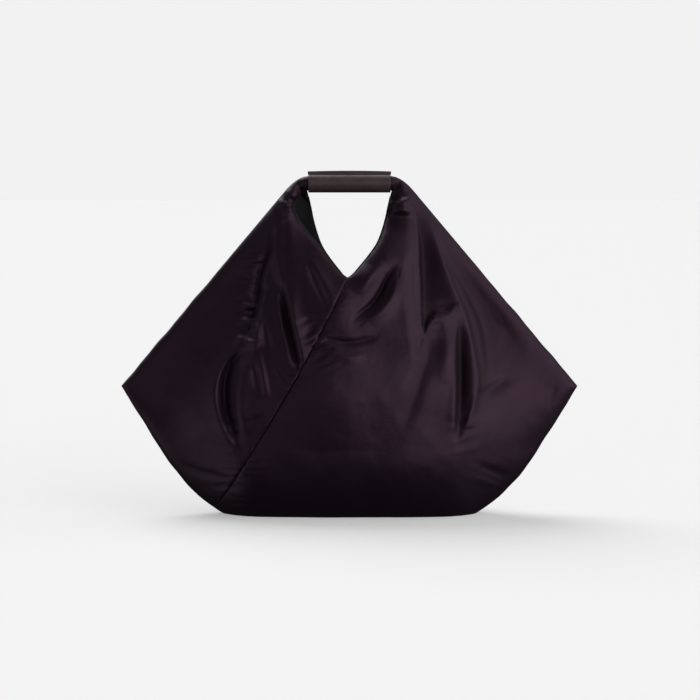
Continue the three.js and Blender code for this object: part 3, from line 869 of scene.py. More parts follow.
    def skin(self, face: FaceKind, side: Side, s: Array, t: Array, layer: Layer, folded: bool) -> Array:
        """Shapes one patch of a face.

        Args:
            face: which face the patch shows on; the back is the front turned half round.
            side: which side of that face's seam it is on.
            s: shares across, one row of numbers.
            t: shares along, one column of numbers.
            layer: how far inside the outer skin it lies.
            folded: whether it has all the folds; a loose layer has only the creases, spread wider.

        Returns:
            The patch's points in millimetres, rows by columns by three.
        """
        size = self.sizes
        s, t = np.broadcast_arrays(s, t)
        x, z = self.plan(face, side, s, t, layer)
        skin_x, skin_z = self.plan(face, side, s, t, Layer(gap=layer.gap))
        flat = self.body_depth(skin_x, skin_z)
        gather = smooth(t, *GATHERING)
        slope = np.hypot(
            (self.body_depth(skin_x + 1, skin_z) - self.body_depth(skin_x - 1, skin_z)) / 2,
            (self.body_depth(skin_x, skin_z + 1) - self.body_depth(skin_x, skin_z - 1)) / 2,
        )
        relief = self.relief(face, side, skin_x, skin_z) if folded else self.creases(skin_x, skin_z)
        relief = relief * smooth(flat, 0.0, size.half_depth * self.relief_full)
        depth = np.maximum(flat + relief, flat / self.crease_limit)
        if folded:
            edge = np.minimum(
                np.maximum(0.0, self.upper_edge(skin_x) - skin_z) / np.hypot(1.0, self.upper_fall(skin_x)),
                np.maximum(0.0, skin_z - self.lower_edge(skin_x)) / math.hypot(1.0, size.lower_slope),
            )
            away = smooth(skin_z, *self.edge_clear)
            fades = np.exp(-edge / (3 * self.edge_roll))
            depth = np.sqrt(depth**2 + away * 2 * self.edge_roll * edge * fades)
        depth = mix(depth, self.neck_depth(s, t), gather)
        if folded:
            free = smooth(t, *NECK_FOLDS_START) * (1 - smooth(t, *NECK_FOLDS_END))
            for fold in NECK_FOLDS:
                depth = depth + free * fold.relief(skin_x, skin_z)
            depth = np.maximum(depth + self.pleating(s, t) - self.rolled_border(side, s, t, x, z), 0.0)
        lean = mix(np.minimum(np.hypot(1.0, slope), 2.0), 1.0, gather)
        take = (layer.take + layer.ease * flat * (1 - gather)) * lean
        left = depth - take * (1 - np.exp(-depth / np.maximum(take, TINY)))
        parting = 0.0
        if side is Side.RIGHT:
            parting = layer.gap * (1 - s) * np.maximum(0.0, 1 - t / AT_TIP)
        height = np.where((s == 1.0) & (t > AT_TIP), z, np.maximum(z, layer.lift))
        if folded:
            out_x, out_z = self.loose_edge(face, side, s, t)
            x, height = x + out_x, height + out_z
        points = np.stack([x, -(left + parting), height], axis=-1)
        if face is FaceKind.BACK:
            points = points * np.array([-1.0, -1.0, 1.0])
        return points

    def loose_edge(self, face: FaceKind, side: Side, s: Array, t: Array) -> tuple[Array, Array]:
        """How far the soft folded edge bulges and wanders.

        Args:
            face: which face the patch shows on.
            side: which side of the seam the patch is on.
            s: shares across.
            t: shares along.

        Returns:
            The moves across and upwards.
        """
        outer = np.sign(side.value * (1 if face is FaceKind.FRONT else -1))
        lower = t < AT_TIP
        bulge = self.edge_bulge * np.where(lower, np.sin(math.pi * t / AT_TIP), 0.0)
        free = smooth(t, *EDGE_LOOSENS) * (1 - smooth(t, *EDGE_TIGHTENS))
        free = free * smooth(np.abs(t - AT_TIP), *TIP_CALM)
        slow, fast = self.edge_waves
        wander = np.sin(t * slow + outer) + self.edge_second * np.sin(t * fast + 2.0 * outer)
        out = (bulge + self.edge_wander * wander * free) * s**self.edge_inwards
        across, upwards = self.edge_out
        return side.value * out * across, out * np.where(lower, -upwards, upwards)

    def crease_shade_masks(self, face: FaceKind, side: Side, s: Array, t: Array) -> Array:
        """How deep in a narrow fold each place of a patch lies, which the satin takes as painted shade in
        its colour.

        Args:
            face: which face the patch shows on.
            side: which side of the seam the patch is on.
            s: shares across.
            t: shares along.

        Returns:
            From 0 outside such folds to 1 at their bottom.
        """
        s, t = np.broadcast_arrays(s, t)
        x, z = self.plan(face, side, s, t, Layer())
        depth = np.zeros_like(x)
        for fold in (*FRONT_FOLDS, *NECK_FOLDS):
            if fold.height < 0 and fold.left + fold.right < self.narrow:
                depth -= fold.relief(x, z)
        return np.clip(depth / self.dark_depth, 0.0, 1.0)

    def pleating(self, s: Array, t: Array) -> Array:
        """The pleats that run out of the sleeve, as a relief over a patch.

        Args:
            s: shares across.
            t: shares along.

        Returns:
            How far they stand out at each place.
        """
        strength = self.pleating_height * smooth(t, *PLEATS_START)
        strength = strength * (1 - smooth(t, *PLEATS_END))
        wave = np.sin(2 * math.pi * self.pleats * s**0.9 + 0.8 * np.sin(9 * t))
        return strength * wave * np.sin(math.pi * np.clip(s, 0.0, 1.0)) ** 0.7

    def rolled_border(self, side: Side, s: Array, t: Array, x: Array, z: Array) -> Array:
        """How far the cloth turns in beside a seam or the opening's edge.

        Args:
            side: which side of the seam the patch is on.
            s: shares across.
            t: shares along.
            x: the patch's places across the plan.
            z: their heights.

        Returns:
            How far the cloth lies back at each place.
        """
        width = np.hypot(x[:, -1:] - x[:, :1], z[:, -1:] - z[:, :1])
        away = s * width
        sewn = 1 - smooth(t, *SEAM_ENDS)
        low = smooth(t, *SEAM_STARTS)
        depth, spread, crisp = self.seams.pinch
        pinch = depth * np.exp(-((away / spread) ** crisp)) * sewn * low
        steps = [np.diff(place[:, :1], axis=0, prepend=place[:1, :1]) for place in (x, z)]
        along = np.cumsum(np.hypot(*steps), axis=0)
        (slow_height, slow), (fast_height, fast) = self.seams.wander
        wander = slow_height * np.sin(along / slow) + fast_height * np.sin(along / fast + side.value)
        height, pitch = self.seams.pucker
        beside, spread = self.seams.pucker_place
        gathers = height * np.sin(2 * math.pi * along / pitch + wander + side.value)
        pucker = gathers * np.exp(-((away - beside) / spread) ** 2)
        depth, spread, crisp = self.seams.hem
        hem = depth * np.exp(-((away / spread) ** crisp)) * (1 - sewn) * (1 - smooth(t, *HEM_ENDS))
        return pinch + pucker * sewn * low + hem


# Meshes

SAME_POINT = 0.00002  # distances in metres below which two points become one
SEWN_POINT = 0.0002


@dataclass
class Piece:
    """A finished piece of the bag, with its name and the frame's nodes that it stands for.

    Attributes:
        name: the piece's plain name.
        slot: the name of the material slot that the piece stands for; it is not used.
        replaces: the frame's nodes that it stands for.
    """

    name: str
    slot: str
    replaces: tuple[str, ...] = ()

    def finish_mesh(self, bm: bmesh.types.BMesh, material: bpy.types.Material) -> bpy.types.Object:
        """Makes the object from a bmesh in metres.

        Args:
            bm: the mesh, which is freed.
            material: the object's only material.

        Returns:
            The object, linked, riding on the bag's body and smooth shaded.
        """
        mesh = bpy.data.meshes.new(self.name)
        bm.to_mesh(mesh)
        bm.free()
        mesh.materials.append(material)
        mesh.polygons.foreach_set("use_smooth", [True] * len(mesh.polygons))
        made = bpy.data.objects.new(self.name, mesh)
        bpy.context.scene.collection.objects.link(made)
        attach(made, BODY)
        if self.replaces:
            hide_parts(*self.replaces)
        LOG.info("%s: %d faces", self.name, len(mesh.polygons))
        return made


def sheet_mesh(points: Array, crease_shade_masks: Array | None = None) -> bmesh.types.BMesh:
    """Moves a flat grid of cloth onto a shape.

    Args:
        points: the shape in millimetres, rows by columns by three.
        crease_shade_masks: how deep in a fold each point lies, from 0 to 1, kept as the attribute "hollow".

    Returns:
        The cloth in metres, with a UV map in metres of cloth that starts at its lower left.
    """
    rows, columns = points.shape[0] - 1, points.shape[1] - 1
    along = np.linalg.norm(np.diff(points, axis=0, prepend=points[:1]), axis=2).cumsum(axis=0)
    across = np.linalg.norm(np.diff(points, axis=1, prepend=points[:, :1]), axis=2).cumsum(axis=1)
    across -= across[:, columns // 2, None]
    bm = bmesh.new()
    bmesh.ops.create_grid(bm, x_segments=columns, y_segments=rows, size=1.0)
    weave = bm.loops.layers.uv.new("cloth")
    hollow = bm.verts.layers.float.new("hollow")
    places = {}
    for vert in bm.verts:
        column = round((vert.co.x + 1) / 2 * columns)
        row = round((vert.co.y + 1) / 2 * rows)
        places[vert] = (row, column)
    for face in bm.faces:
        for loop in face.loops:
            row, column = places[loop.vert]
            loop[weave].uv = (across[row, column] * MM, along[row, column] * MM)
    for vert, (row, column) in places.items():
        vert.co = Vector(points[row, column]) * MM
        if crease_shade_masks is not None:
            vert[hollow] = crease_shade_masks[row, column]
    bmesh.ops.remove_doubles(bm, verts=bm.verts, dist=SAME_POINT)
    return bm


def shares(*stretches: tuple[float, float, int]) -> Array:
    """Spaces shares along a strip.

    Args:
        stretches: each stretch's start, end and number of steps.

    Returns:
        The shares in one column.
    """
    found = [np.linspace(start, end, steps, endpoint=False) for start, end, steps in stretches]
    return np.concatenate([*found, [stretches[-1][1]]])[:, None]


def strip_shares(ends: Sequence[float], rows: Sequence[int]) -> Array:
    """Spaces a panel's shares from its base on, closer together near the base.

    Args:
        ends: where each stretch ends; the first ends at the tip.
        rows: the number of steps in each stretch.

    Returns:
        The shares in one column.
    """
    t = shares(*zip((0.0, *ends), ends, rows))
    low = slice(rows[0] + 1)
    t[low] = AT_TIP * (t[low] / AT_TIP) ** BASE_CROWDING
    return t


# Shaders


class Signal:
    """A number that varies over a surface, held by one output socket, with arithmetic."""

    def __init__(self, graph: "Graph", socket: bpy.types.NodeSocket) -> None:
        """Holds a socket of a graph."""
        self.graph = graph
        self.socket = socket

    def _join(self, operation: str, first: object, second: object) -> "Signal":
        """Adds one Math node."""
        return self.graph.add("ShaderNodeMath", {"operation": operation}, {0: first, 1: second})

    def __add__(self, other: object) -> "Signal":
        """Adds."""
        return self._join("ADD", self, other)

    def __radd__(self, other: object) -> "Signal":
        """Adds, from the right."""
        return self._join("ADD", other, self)

    def __sub__(self, other: object) -> "Signal":
        """Subtracts."""
        return self._join("SUBTRACT", self, other)

    def __rsub__(self, other: object) -> "Signal":
        """Subtracts, from the right."""
        return self._join("SUBTRACT", other, self)

    def __mul__(self, other: object) -> "Signal":
        """Multiplies."""
        return self._join("MULTIPLY", self, other)


class Graph:
    """A material's nodes."""

    def __init__(self, name: str) -> None:
        """Starts a material with one principled shader.

        Args:
            name: the material's name.
        """
        self.material = bpy.data.materials.new(name)
        self.material.use_nodes = True
        self.tree = self.material.node_tree
        self.tree.nodes.clear()
        self.shader = self.tree.nodes.new("ShaderNodeBsdfPrincipled")
        output = self.tree.nodes.new("ShaderNodeOutputMaterial")
        self.tree.links.new(self.shader.outputs[0], output.inputs["Surface"])

    def add(self, kind: str, settings: dict, inputs: dict, output: object = 0) -> Signal:
        """Adds one node.

        Args:
            kind: the node's type.
            settings: its properties, which are set first; "stops" gives a ramp's places and colours.
            inputs: values or signals by socket name or number.
            output: the output socket that is wanted.

        Returns:
            The wanted output.
        """
        node = self.tree.nodes.new(kind)
        for key, value in settings.items():
            if key == "stops":
                ramp = node.color_ramp.elements
                while len(ramp) < len(value):
                    ramp.new(1.0)
                for element, (place, colour) in zip(ramp, value):
                    element.position, element.color = place, colour
            else:
                setattr(node, key, value)
        for key, value in inputs.items():
            self.feed(node.inputs[key], value)
        return Signal(self, node.outputs[output])

    def feed(self, socket: bpy.types.NodeSocket, value: object) -> None:
        """Sets a socket to a value or links a signal to it.

        Args:
            socket: the input socket.
            value: a value or a signal.
        """
        if isinstance(value, Signal):
            self.tree.links.new(value.socket, socket)
        else:
            socket.default_value = value

    def place(self, space: str, scale: Sequence[float] = (1.0, 1.0, 1.0), turn: float = 0.0) -> Signal:
        """Gives scaled coordinates.

        Args:
            space: "Object" for places in metres, or the name of a UV map.
            scale: how much each axis is scaled.
            turn: turn about Z in degrees, before the scale.

        Returns:
            The coordinates.
        """
        if space == "Object":
            start = self.add("ShaderNodeTexCoord", {}, {}, "Object")
        else:
            start = self.add("ShaderNodeUVMap", {"uv_map": space}, {})
        turned = {"Vector": start, "Rotation": (0.0, 0.0, math.radians(turn)), "Scale": tuple(scale)}
        return self.add("ShaderNodeMapping", {}, turned)

    def noise(self, at: Signal, scale: float, detail: float = 2.0, rough: float = 0.5) -> Signal:
        """Gives soft noise about 0.5."""
        inputs = {"Vector": at, "Scale": scale, "Detail": detail, "Roughness": rough}
        return self.add("ShaderNodeTexNoise", {}, inputs)

    def wave(self, at: Signal, direction: str, scale: float) -> Signal:
        """Gives straight waves, scale of them to 2 pi of the coordinates."""
        settings = {"wave_type": "BANDS", "bands_direction": direction, "wave_profile": "SIN"}
        return self.add("ShaderNodeTexWave", settings, {"Vector": at, "Scale": scale}, "Fac")

    def blend(self, share: object, first: object, second: object) -> Signal:
        """Mixes two colours by a share."""
        return self.add("ShaderNodeMix", {"data_type": "RGBA"}, {0: share, 6: first, 7: second}, 2)

    def relief(self, height: Signal, distance: float, strength: float = 1.0) -> Signal:
        """Turns heights from 0 to 1 into a bump of a distance in metres."""
        inputs = {"Height": height, "Distance": distance, "Strength": strength}
        return self.add("ShaderNodeBump", {}, inputs)

    def dress(self, inputs: dict[str, object]) -> bpy.types.Material:
        """Feeds the shader's sockets.

        Args:
            inputs: values or signals by socket name.

        Returns:
            The material.
        """
        for key, value in inputs.items():
            self.feed(self.shader.inputs[key], value)
        return self.material


Colour = tuple[float, float, float, float]


@dataclass(frozen=True)
class SatinFinish:
    """Dark satin over wadding: a smooth warp face with a soft sheen, and painted shade darkening its narrow
    creases.

    Attributes:
        deep: the darker colour of the cloth.
        bright: the lighter one.
        shaded: painted shade, the colour that the bottom of a narrow crease is darkened to.
        yarns_per_metre: the warp's yarns.
        roughness: middle roughness.
        weave: distance in metres and strength of the weave's bump.
        dents: the same for the crumples that are too fine for the mesh.
        crease_shade: how much of that painted shade a crease takes at its bottom.
    """

    deep: Colour = (0.0120, 0.0066, 0.0118, 1.0)
    bright: Colour = (0.0200, 0.0110, 0.0185, 1.0)
    shaded: Colour = (0.0042, 0.0024, 0.0040, 1.0)
    yarns_per_metre: float = 4200.0
    roughness: float = 0.40
    weave: tuple[float, float] = (0.00006, 0.5)
    dents: tuple[float, float] = (0.0016, 0.42)
    crease_shade: float = 0.75

    def build(self) -> bpy.types.Material:
        """Builds the satin.

        Returns:
            The material.
        """
        g = Graph("satin")
        cloth = g.place("cloth")
        solid = g.place("Object")
        warp = g.wave(cloth, "X", self.yarns_per_metre / (2 * math.pi))
        weft = g.wave(cloth, "DIAGONAL", self.yarns_per_metre / 5 / (2 * math.pi))
        cloudy = g.noise(solid, 14.0, 3.0)
        slubs = g.noise(g.place("cloth", (900.0, 60.0, 1.0)), 1.0, 2.0)
        crush = g.noise(solid, 46.0, 4.0, 0.55)
        uneven = g.noise(solid, 24.0, 3.0, 0.5) - 0.5
        ridged = g.add("ShaderNodeMath", {"operation": "ABSOLUTE"}, {0: uneven})
        hollow = g.add("ShaderNodeAttribute", {"attribute_name": "hollow"}, {}, "Fac")
        fine = g.relief(warp * 0.6 + weft * 0.4, *self.weave)
        crumpled = crush * 0.6 + (1 - ridged * 2.0) * 0.4
        height, strength = self.dents
        dented = {"Height": crumpled, "Distance": height, "Strength": strength, "Normal": fine}
        soft = g.add("ShaderNodeBump", {}, dented)
        # Painted shade: the satin's colour is darkened towards the bottom of narrow creases, where shade
        # falls; the same mask makes them a little rougher.
        shade = hollow * self.crease_shade
        open_cloth = g.blend(cloudy * 0.7 + slubs * 0.3, self.deep, self.bright)
        return g.dress({
            "Base Color": g.blend(shade, open_cloth, self.shaded),
            "Roughness": self.roughness + (crush - 0.5) * 0.16 + (slubs - 0.5) * 0.08 + hollow * 0.2,
            "Specular IOR Level": 0.4,
            "Specular Tint": (1.0, 0.58, 0.88, 1.0),
            "Sheen Weight": 0.06,
            "Sheen Roughness": 0.35,
            "Sheen Tint": (0.9, 0.55, 0.85, 1.0),
            "Normal": soft,
        })


@dataclass(frozen=True)
class LiningFinish:
    """Matt near-black lining in a fine twill."""

    deep: Colour = (0.0048, 0.0058, 0.0054, 1.0)
    bright: Colour = (0.0135, 0.016, 0.0148, 1.0)
    yarns_per_metre: float = 2600.0

    def build(self) -> bpy.types.Material:
        """Builds the lining cloth.

        Returns:
            The material.
        """
        g = Graph("lining_cloth")
        cloth = g.place("cloth", turn=45.0)
        twill = g.wave(cloth, "X", self.yarns_per_metre / (2 * math.pi))
        cloudy = g.noise(g.place("Object"), 30.0, 3.0)
        return g.dress({
            "Base Color": g.blend(cloudy * 0.6 + twill * 0.4, self.deep, self.bright),
            "Roughness": 0.72 + cloudy * 0.12,
            "Sheen Weight": 0.15,
            "Normal": g.relief(twill * 0.5 + cloudy * 0.5, 0.0002, 0.6),
        })


@dataclass(frozen=True)
class LeatherFinish:
    """Dark brown calf leather with a fine grain and a light coat."""

    deep: Colour = (0.056, 0.0330, 0.0380, 1.0)
    bright: Colour = (0.128, 0.088, 0.096, 1.0)
    grain: float = 900.0

    def build(self) -> bpy.types.Material:
        """Builds the leather.

        Returns:
            The material.
        """
        g = Graph("sleeve_leather")
        at = g.place("Object", (0.8, 1.0, 1.0))
        cells = g.add("ShaderNodeTexVoronoi", {"feature": "SMOOTH_F1"}, {"Vector": at, "Scale": self.grain})
        cloudy = g.noise(at, 60.0, 4.0)
        pores = g.noise(at, 2400.0, 2.0)
        height = cells * 0.7 + pores * 0.3
        return g.dress({
            "Base Color": g.blend(cloudy * 0.75 + cells * 0.25, self.deep, self.bright),
            "Roughness": 0.36 + (cloudy - 0.5) * 0.14 + cells * 0.08,
            "Coat Weight": 0.12,
            "Coat Roughness": 0.3,
            "Normal": g.relief(height, 0.00022, 0.75),
        })


@dataclass(frozen=True)
class ThreadFinish:
    """Twisted sewing thread, with a painted highlight that makes each turn of its twist a little lighter.
    """

    colour: Colour = (0.03, 0.02, 0.026, 1.0)
    lighter: float = 1.8
    turns_per_metre: float = 4000.0

    def build(self) -> bpy.types.Material:
        """Builds the thread.

        Returns:
            The material.
        """
        g = Graph("thread")
        along = g.place("Object", turn=30.0)
        twist = g.wave(along, "X", self.turns_per_metre / (2 * math.pi))
        # Painted highlight: a lighter copy of the thread's colour, laid on each turn of the twist.
        lit = tuple(min(1.0, c * self.lighter) for c in self.colour[:3]) + (1.0,)
        return g.dress({
            "Base Color": g.blend(twist, self.colour, lit),
            "Roughness": 0.5 + twist * 0.15,
            "Normal": g.relief(twist, 0.0001, 0.5),
        })


@dataclass(frozen=True)
class FloorFinish:
    """Plain pale studio floor."""

    colour: Colour = (0.8, 0.8, 0.8, 1.0)
    glow: float = 0.366

    def build(self) -> bpy.types.Material:
        """Builds the floor's material.

        Returns:
            The material.
        """
        g = Graph("studio_floor")
        return g.dress({
            "Base Color": self.colour,
            "Roughness": 0.9,
            "Specular IOR Level": 0.1,
            "Emission Color": (1.0, 1.0, 1.0, 1.0),
            "Emission Strength": self.glow,
        })


# The bag's pieces


@dataclass
class PaddedPanel:
    """One padded satin panel, from the front's seam round a side tip to the back's seam.

    Attributes:
        form: the bag's surfaces.
        name: the CAD node that it stands for.
        turned: whether it is the panel that is turned half round.
        wall: thickness of cloth and wadding.
        front_columns: steps across its small and its large part where they show on the front.
        back_columns: the same on the back.
        rows: steps to the tip, the notch, the sleeve and the sleeve's middle.
    """

    form: BagForm
    name: str
    turned: bool
    wall: float = 3.2
    front_columns: tuple[int, int] = (84, 176)
    back_columns: tuple[int, int] = (46, 110)
    rows: tuple[int, int, int, int] = (68, 66, 78, 8)

    def points(self) -> tuple[Array, Array]:
        """Shapes the panel's outer skin.

        Returns:
            The points, rows from base to sleeve and columns from the small part's seam to the large
            part's seam, and how deep in a fold each of them lies.
        """
        t = strip_shares((AT_TIP, AT_NOTCH, AT_SLEEVE, 1.0), self.rows)
        small, large = (FaceKind.BACK, FaceKind.FRONT) if self.turned else (FaceKind.FRONT, FaceKind.BACK)
        columns = {FaceKind.FRONT: self.front_columns, FaceKind.BACK: self.back_columns}
        near = np.linspace(0.0, 1.0, columns[small][0] + 1)[None, :]
        far = np.linspace(1.0, 0.0, columns[large][1] + 1)[None, 1:]
        skin = Layer(gap=self.form.sizes.seam_gap)
        patches = ((small, Side.LEFT, near), (large, Side.RIGHT, far))
        points = [self.form.skin(face, side, s, t, skin, True) for face, side, s in patches]
        crease_shade_masks = [self.form.crease_shade_masks(face, side, s, t) for face, side, s in patches]
        return np.concatenate(points, axis=1), np.concatenate(crease_shade_masks, axis=1)

    def build(self, material: bpy.types.Material) -> bpy.types.Object:
        """Makes the panel and gives it its wall.

        Args:
            material: the satin.

        Returns:
            The padded panel.
        """
        bm = sheet_mesh(*self.points())
        bmesh.ops.reverse_faces(bm, faces=bm.faces)
        panel = Piece(self.name + "_satin", "satin", (self.name,)).finish_mesh(bm, material)
        wall = panel.modifiers.new("wadding", "SOLIDIFY")
        wall.thickness = self.wall * MM
        wall.offset = -1.0
        return panel


@dataclass
class Lining:
    """The thin pouch inside both panels.

    Attributes:
        form: the bag's surfaces.
        layer: how it lies inside them.
        end: where it ends under the sleeve.
        wall: thickness of the cloth.
        ripple: height and fineness of its small ripples.
        ripple_seed: where their random draw starts.
        lip_out: how far its edge lies beyond the panels' edge at the opening.
        lip_forward: how far it comes forward there.
        lip_share: how narrow that edge is, as a share across.
        columns: steps across a small and a large patch.
        rows: steps to the tip, the notch and its end.
    """

    form: BagForm
    layer: Layer = Layer(inset=7.1, slack=9.0, lift=5.1, take=5.1, ease=0.13)
    end: float = 0.86
    wall: float = 0.8
    ripple: tuple[float, float] = (0.8, 1.6)
    ripple_seed: int = 71
    lip_out: float = 1.5
    lip_forward: float = 1.5
    lip_share: float = 0.03
    columns: tuple[int, int] = (30, 80)
    rows: tuple[int, int, int] = (30, 30, 34)

    def patch(self, face: FaceKind, side: Side) -> Array:
        """Shapes one of the lining's four patches.

        Args:
            face: which face the patch lies behind.
            side: which side of the seam it is on.

        Returns:
            Its points, rows by columns by three.
        """
        t = strip_shares((AT_TIP, AT_NOTCH, self.end), self.rows)
        count = self.columns[1] if side is Side.RIGHT else self.columns[0]
        s = np.linspace(0.0, 1.0, count + 1)[None, :]
        points = self.form.skin(face, side, s, t, self.layer, False)
        height, fineness = self.ripple
        x, z = points[..., 0] * fineness, points[..., 2] * fineness
        ripple = soft_waves(x, z, self.ripple_seed + side.value)
        facing = -1.0 if face is FaceKind.BACK else 1.0
        room = smooth(np.abs(points[..., 1]), 4.0, 14.0) * np.sin(math.pi * s) * smooth(t, 0.1, 0.3)
        points[..., 1] += facing * room * (1.0 + np.abs(ripple)) * height
        lip = smooth(t, AT_NOTCH, AT_NOTCH + 0.03) * (1 - smooth(t, self.end - 0.08, self.end))
        lip = lip * np.exp(-((s / self.lip_share) ** 2))
        points[..., 0] -= facing * side.value * self.lip_out * lip
        points[..., 1] -= facing * self.lip_forward * lip
        return points

    def build(self, material: bpy.types.Material) -> bpy.types.Object:
        """Makes the lining from its four patches.

        Args:
            material: the lining cloth.

        Returns:
            The lining, closed except along the opening.
        """
        bm = bmesh.new()
        for face in FaceKind:
            for side in Side:
                patch = sheet_mesh(self.patch(face, side))
                if side is Side.LEFT:
                    bmesh.ops.reverse_faces(patch, faces=patch.faces)
                scrap = bpy.data.meshes.new("lining_patch")
                patch.to_mesh(scrap)
                patch.free()
                bm.from_mesh(scrap)
                bpy.data.meshes.remove(scrap)
        bmesh.ops.remove_doubles(bm, verts=bm.verts, dist=SEWN_POINT)
        bmesh.ops.recalc_face_normals(bm, faces=bm.faces)
        lining = Piece("lining_pouch", "lining", ("lining",)).finish_mesh(bm, material)
        wall = lining.modifiers.new("cloth", "SOLIDIFY")
        wall.thickness = self.wall * MM
        wall.offset = -1.0
        return lining


@dataclass
class HandleSleeve:
    """The leather tube round the gathered necks, with its two sewn edges standing up.

    Attributes:
        sizes: the bag's driving sizes.
        splay: how much further apart the edges stand at their top, as a share.
        corner: share of the overhang that the tube has, and how fast the flange takes the rest.
        steps: steps round the tube, along it and up the flange.
        edge_round: width of the cut edges' rounding.
        stitch_pitch: distance between stitches.
        stitch_length: how long one is.
        stitch_width: how thick it is.
        stitch_below: how far the row lies below the flange's edge.
        stitch_out: how far a stitch's middle lies off the leather.
    """

    sizes: BagSizes
    splay: float = 0.25
    corner: tuple[float, float] = (0.35, 2.6)
    steps: tuple[int, int, int] = (40, 60, 5)
    edge_round: float = 0.3
    stitch_pitch: float = 2.6
    stitch_length: float = 1.7
    stitch_width: float = 0.42
    stitch_below: float = 2.0
    stitch_out: float = 0.12

    @property
    def flange_half(self) -> float:
        """How far the middle of each standing edge lies from the flange's middle."""
        return self.sizes.flange_width / 4 + 0.05

    def build(self, leather: bpy.types.Material, thread: bpy.types.Material) -> list[bpy.types.Object]:
        """Makes the tube, its flange and its stitches.

        Args:
            leather: the sleeve's material.
            thread: the stitches' material.

        Returns:
            The sleeve and its stitches.
        """
        return [self.build_leather(leather), self.build_stitches(thread)]

    def flange_top(self, x: float) -> float:
        """Height of the flange's upper edge above the sleeve's axis.

        Args:
            x: place along the sleeve.

        Returns:
            The height there.
        """
        z = self.sizes
        reach = z.sleeve_length / 2 + z.flange_overhang
        bow = z.flange_bow * (1 - (x / reach) ** 2)
        return z.sleeve_diameter / 2 + z.flange_height - z.flange_bow + bow

    def build_leather(self, material: bpy.types.Material) -> bpy.types.Object:
        """Bends one strip of leather into a tube whose edges stand up.

        Args:
            material: the leather.

        Returns:
            The sleeve.
        """
        z = self.sizes
        radius = z.sleeve_diameter / 2 - z.sleeve_wall / 2
        half = self.flange_half
        turn = math.asin(half / radius)
        round_steps, along_steps, flange_steps = self.steps
        section = []
        for k in range(flange_steps):
            section.append((half, None, 1 - k / flange_steps))
        for k in range(round_steps + 1):
            angle = turn + (2 * math.pi - 2 * turn) * k / round_steps
            section.append((radius * math.sin(angle), radius * math.cos(angle), 0.0))
        for k in range(1, flange_steps + 1):
            section.append((-half, None, k / flange_steps))
        root = radius * math.cos(turn)
        least, growth = self.corner
        bm = bmesh.new()
        columns = len(section) - 1
        bmesh.ops.create_grid(bm, x_segments=columns, y_segments=along_steps, size=1.0)
        for vert in bm.verts:
            column = round((vert.co.x + 1) / 2 * columns)
            row = round((vert.co.y + 1) / 2 * along_steps)
            y, height, rise = section[column]
            reach = z.sleeve_length / 2 + z.flange_overhang * min(1.0, least + growth * rise)
            x = -reach + 2 * reach * row / along_steps
            bow = 1 - (x / reach) ** 2
            if height is None:
                height = root + (self.flange_top(x) - root) * rise
                y *= 1 + self.splay * rise * bow
            vert.co = Vector((x, y, z.grip_height + height)) * MM
        bmesh.ops.recalc_face_normals(bm, faces=bm.faces)
        sleeve = Piece("handle_sleeve_leather", "leather", ("handle_sleeve",)).finish_mesh(bm, material)
        wall = sleeve.modifiers.new("hide", "SOLIDIFY")
        wall.thickness = z.sleeve_wall * MM
        wall.offset = 0.0
        soft = sleeve.modifiers.new("cut_edge", "BEVEL")
        soft.width = self.edge_round * MM
        soft.segments = 2
        soft.limit_method = "ANGLE"
        return sleeve

    def build_stitches(self, material: bpy.types.Material) -> bpy.types.Object:
        """Sews the flange together with a row of short stitches on each side.

        Args:
            material: the thread.

        Returns:
            All stitches in one piece.
        """
        z = self.sizes
        bm = bmesh.new()
        count = int(z.sleeve_length / self.stitch_pitch)
        for side in (-1, 1):
            for k in range(count):
                x = (k - (count - 1) / 2) * self.stitch_pitch
                height = z.grip_height + self.flange_top(x) - self.stitch_below
                y = side * (self.flange_half + z.sleeve_wall / 2 + self.stitch_out)
                made = bmesh.ops.create_uvsphere(bm, u_segments=6, v_segments=4, radius=0.5)["verts"]
                shape = Matrix.LocRotScale(
                    Vector((x, y, height)),
                    None,
                    Vector((self.stitch_length, self.stitch_width, self.stitch_width)),
                )
                bmesh.ops.transform(bm, matrix=Matrix.Scale(MM, 4) @ shape, verts=made)
        return Piece("sleeve_stitches", "leather").finish_mesh(bm, material)


# The studio


@dataclass(frozen=True)
class Lamp:
    """A soft far light.

    Attributes:
        name: the light's name.
        around: its angle to the right of the front, in degrees.
        height: its height in degrees.
        spread: how wide it looks from the bag, in degrees.
        power: its strength.
    """

    name: str
    around: float
    height: float
    spread: float
    power: float


LAMPS = (
    Lamp("key", 28.0, 6.0, 38.0, 0.55),
    Lamp("right_side", 66.0, 6.0, 52.0, 0.5),
    Lamp("above_front", 40.0, 33.0, 36.0, 0.12),
    Lamp("left_front", -28.0, 6.0, 38.0, 0.12),
    Lamp("left_side", -78.0, 6.0, 40.0, 0.18),
    Lamp("right_top", 84.0, 42.0, 80.0, 0.75),
    Lamp("low_left", -85.0, -22.0, 40.0, 0.2),
    Lamp("low_right", 85.0, -22.0, 40.0, 0.08),
    Lamp("behind", -150.0, 52.0, 50.0, 1.6),
)


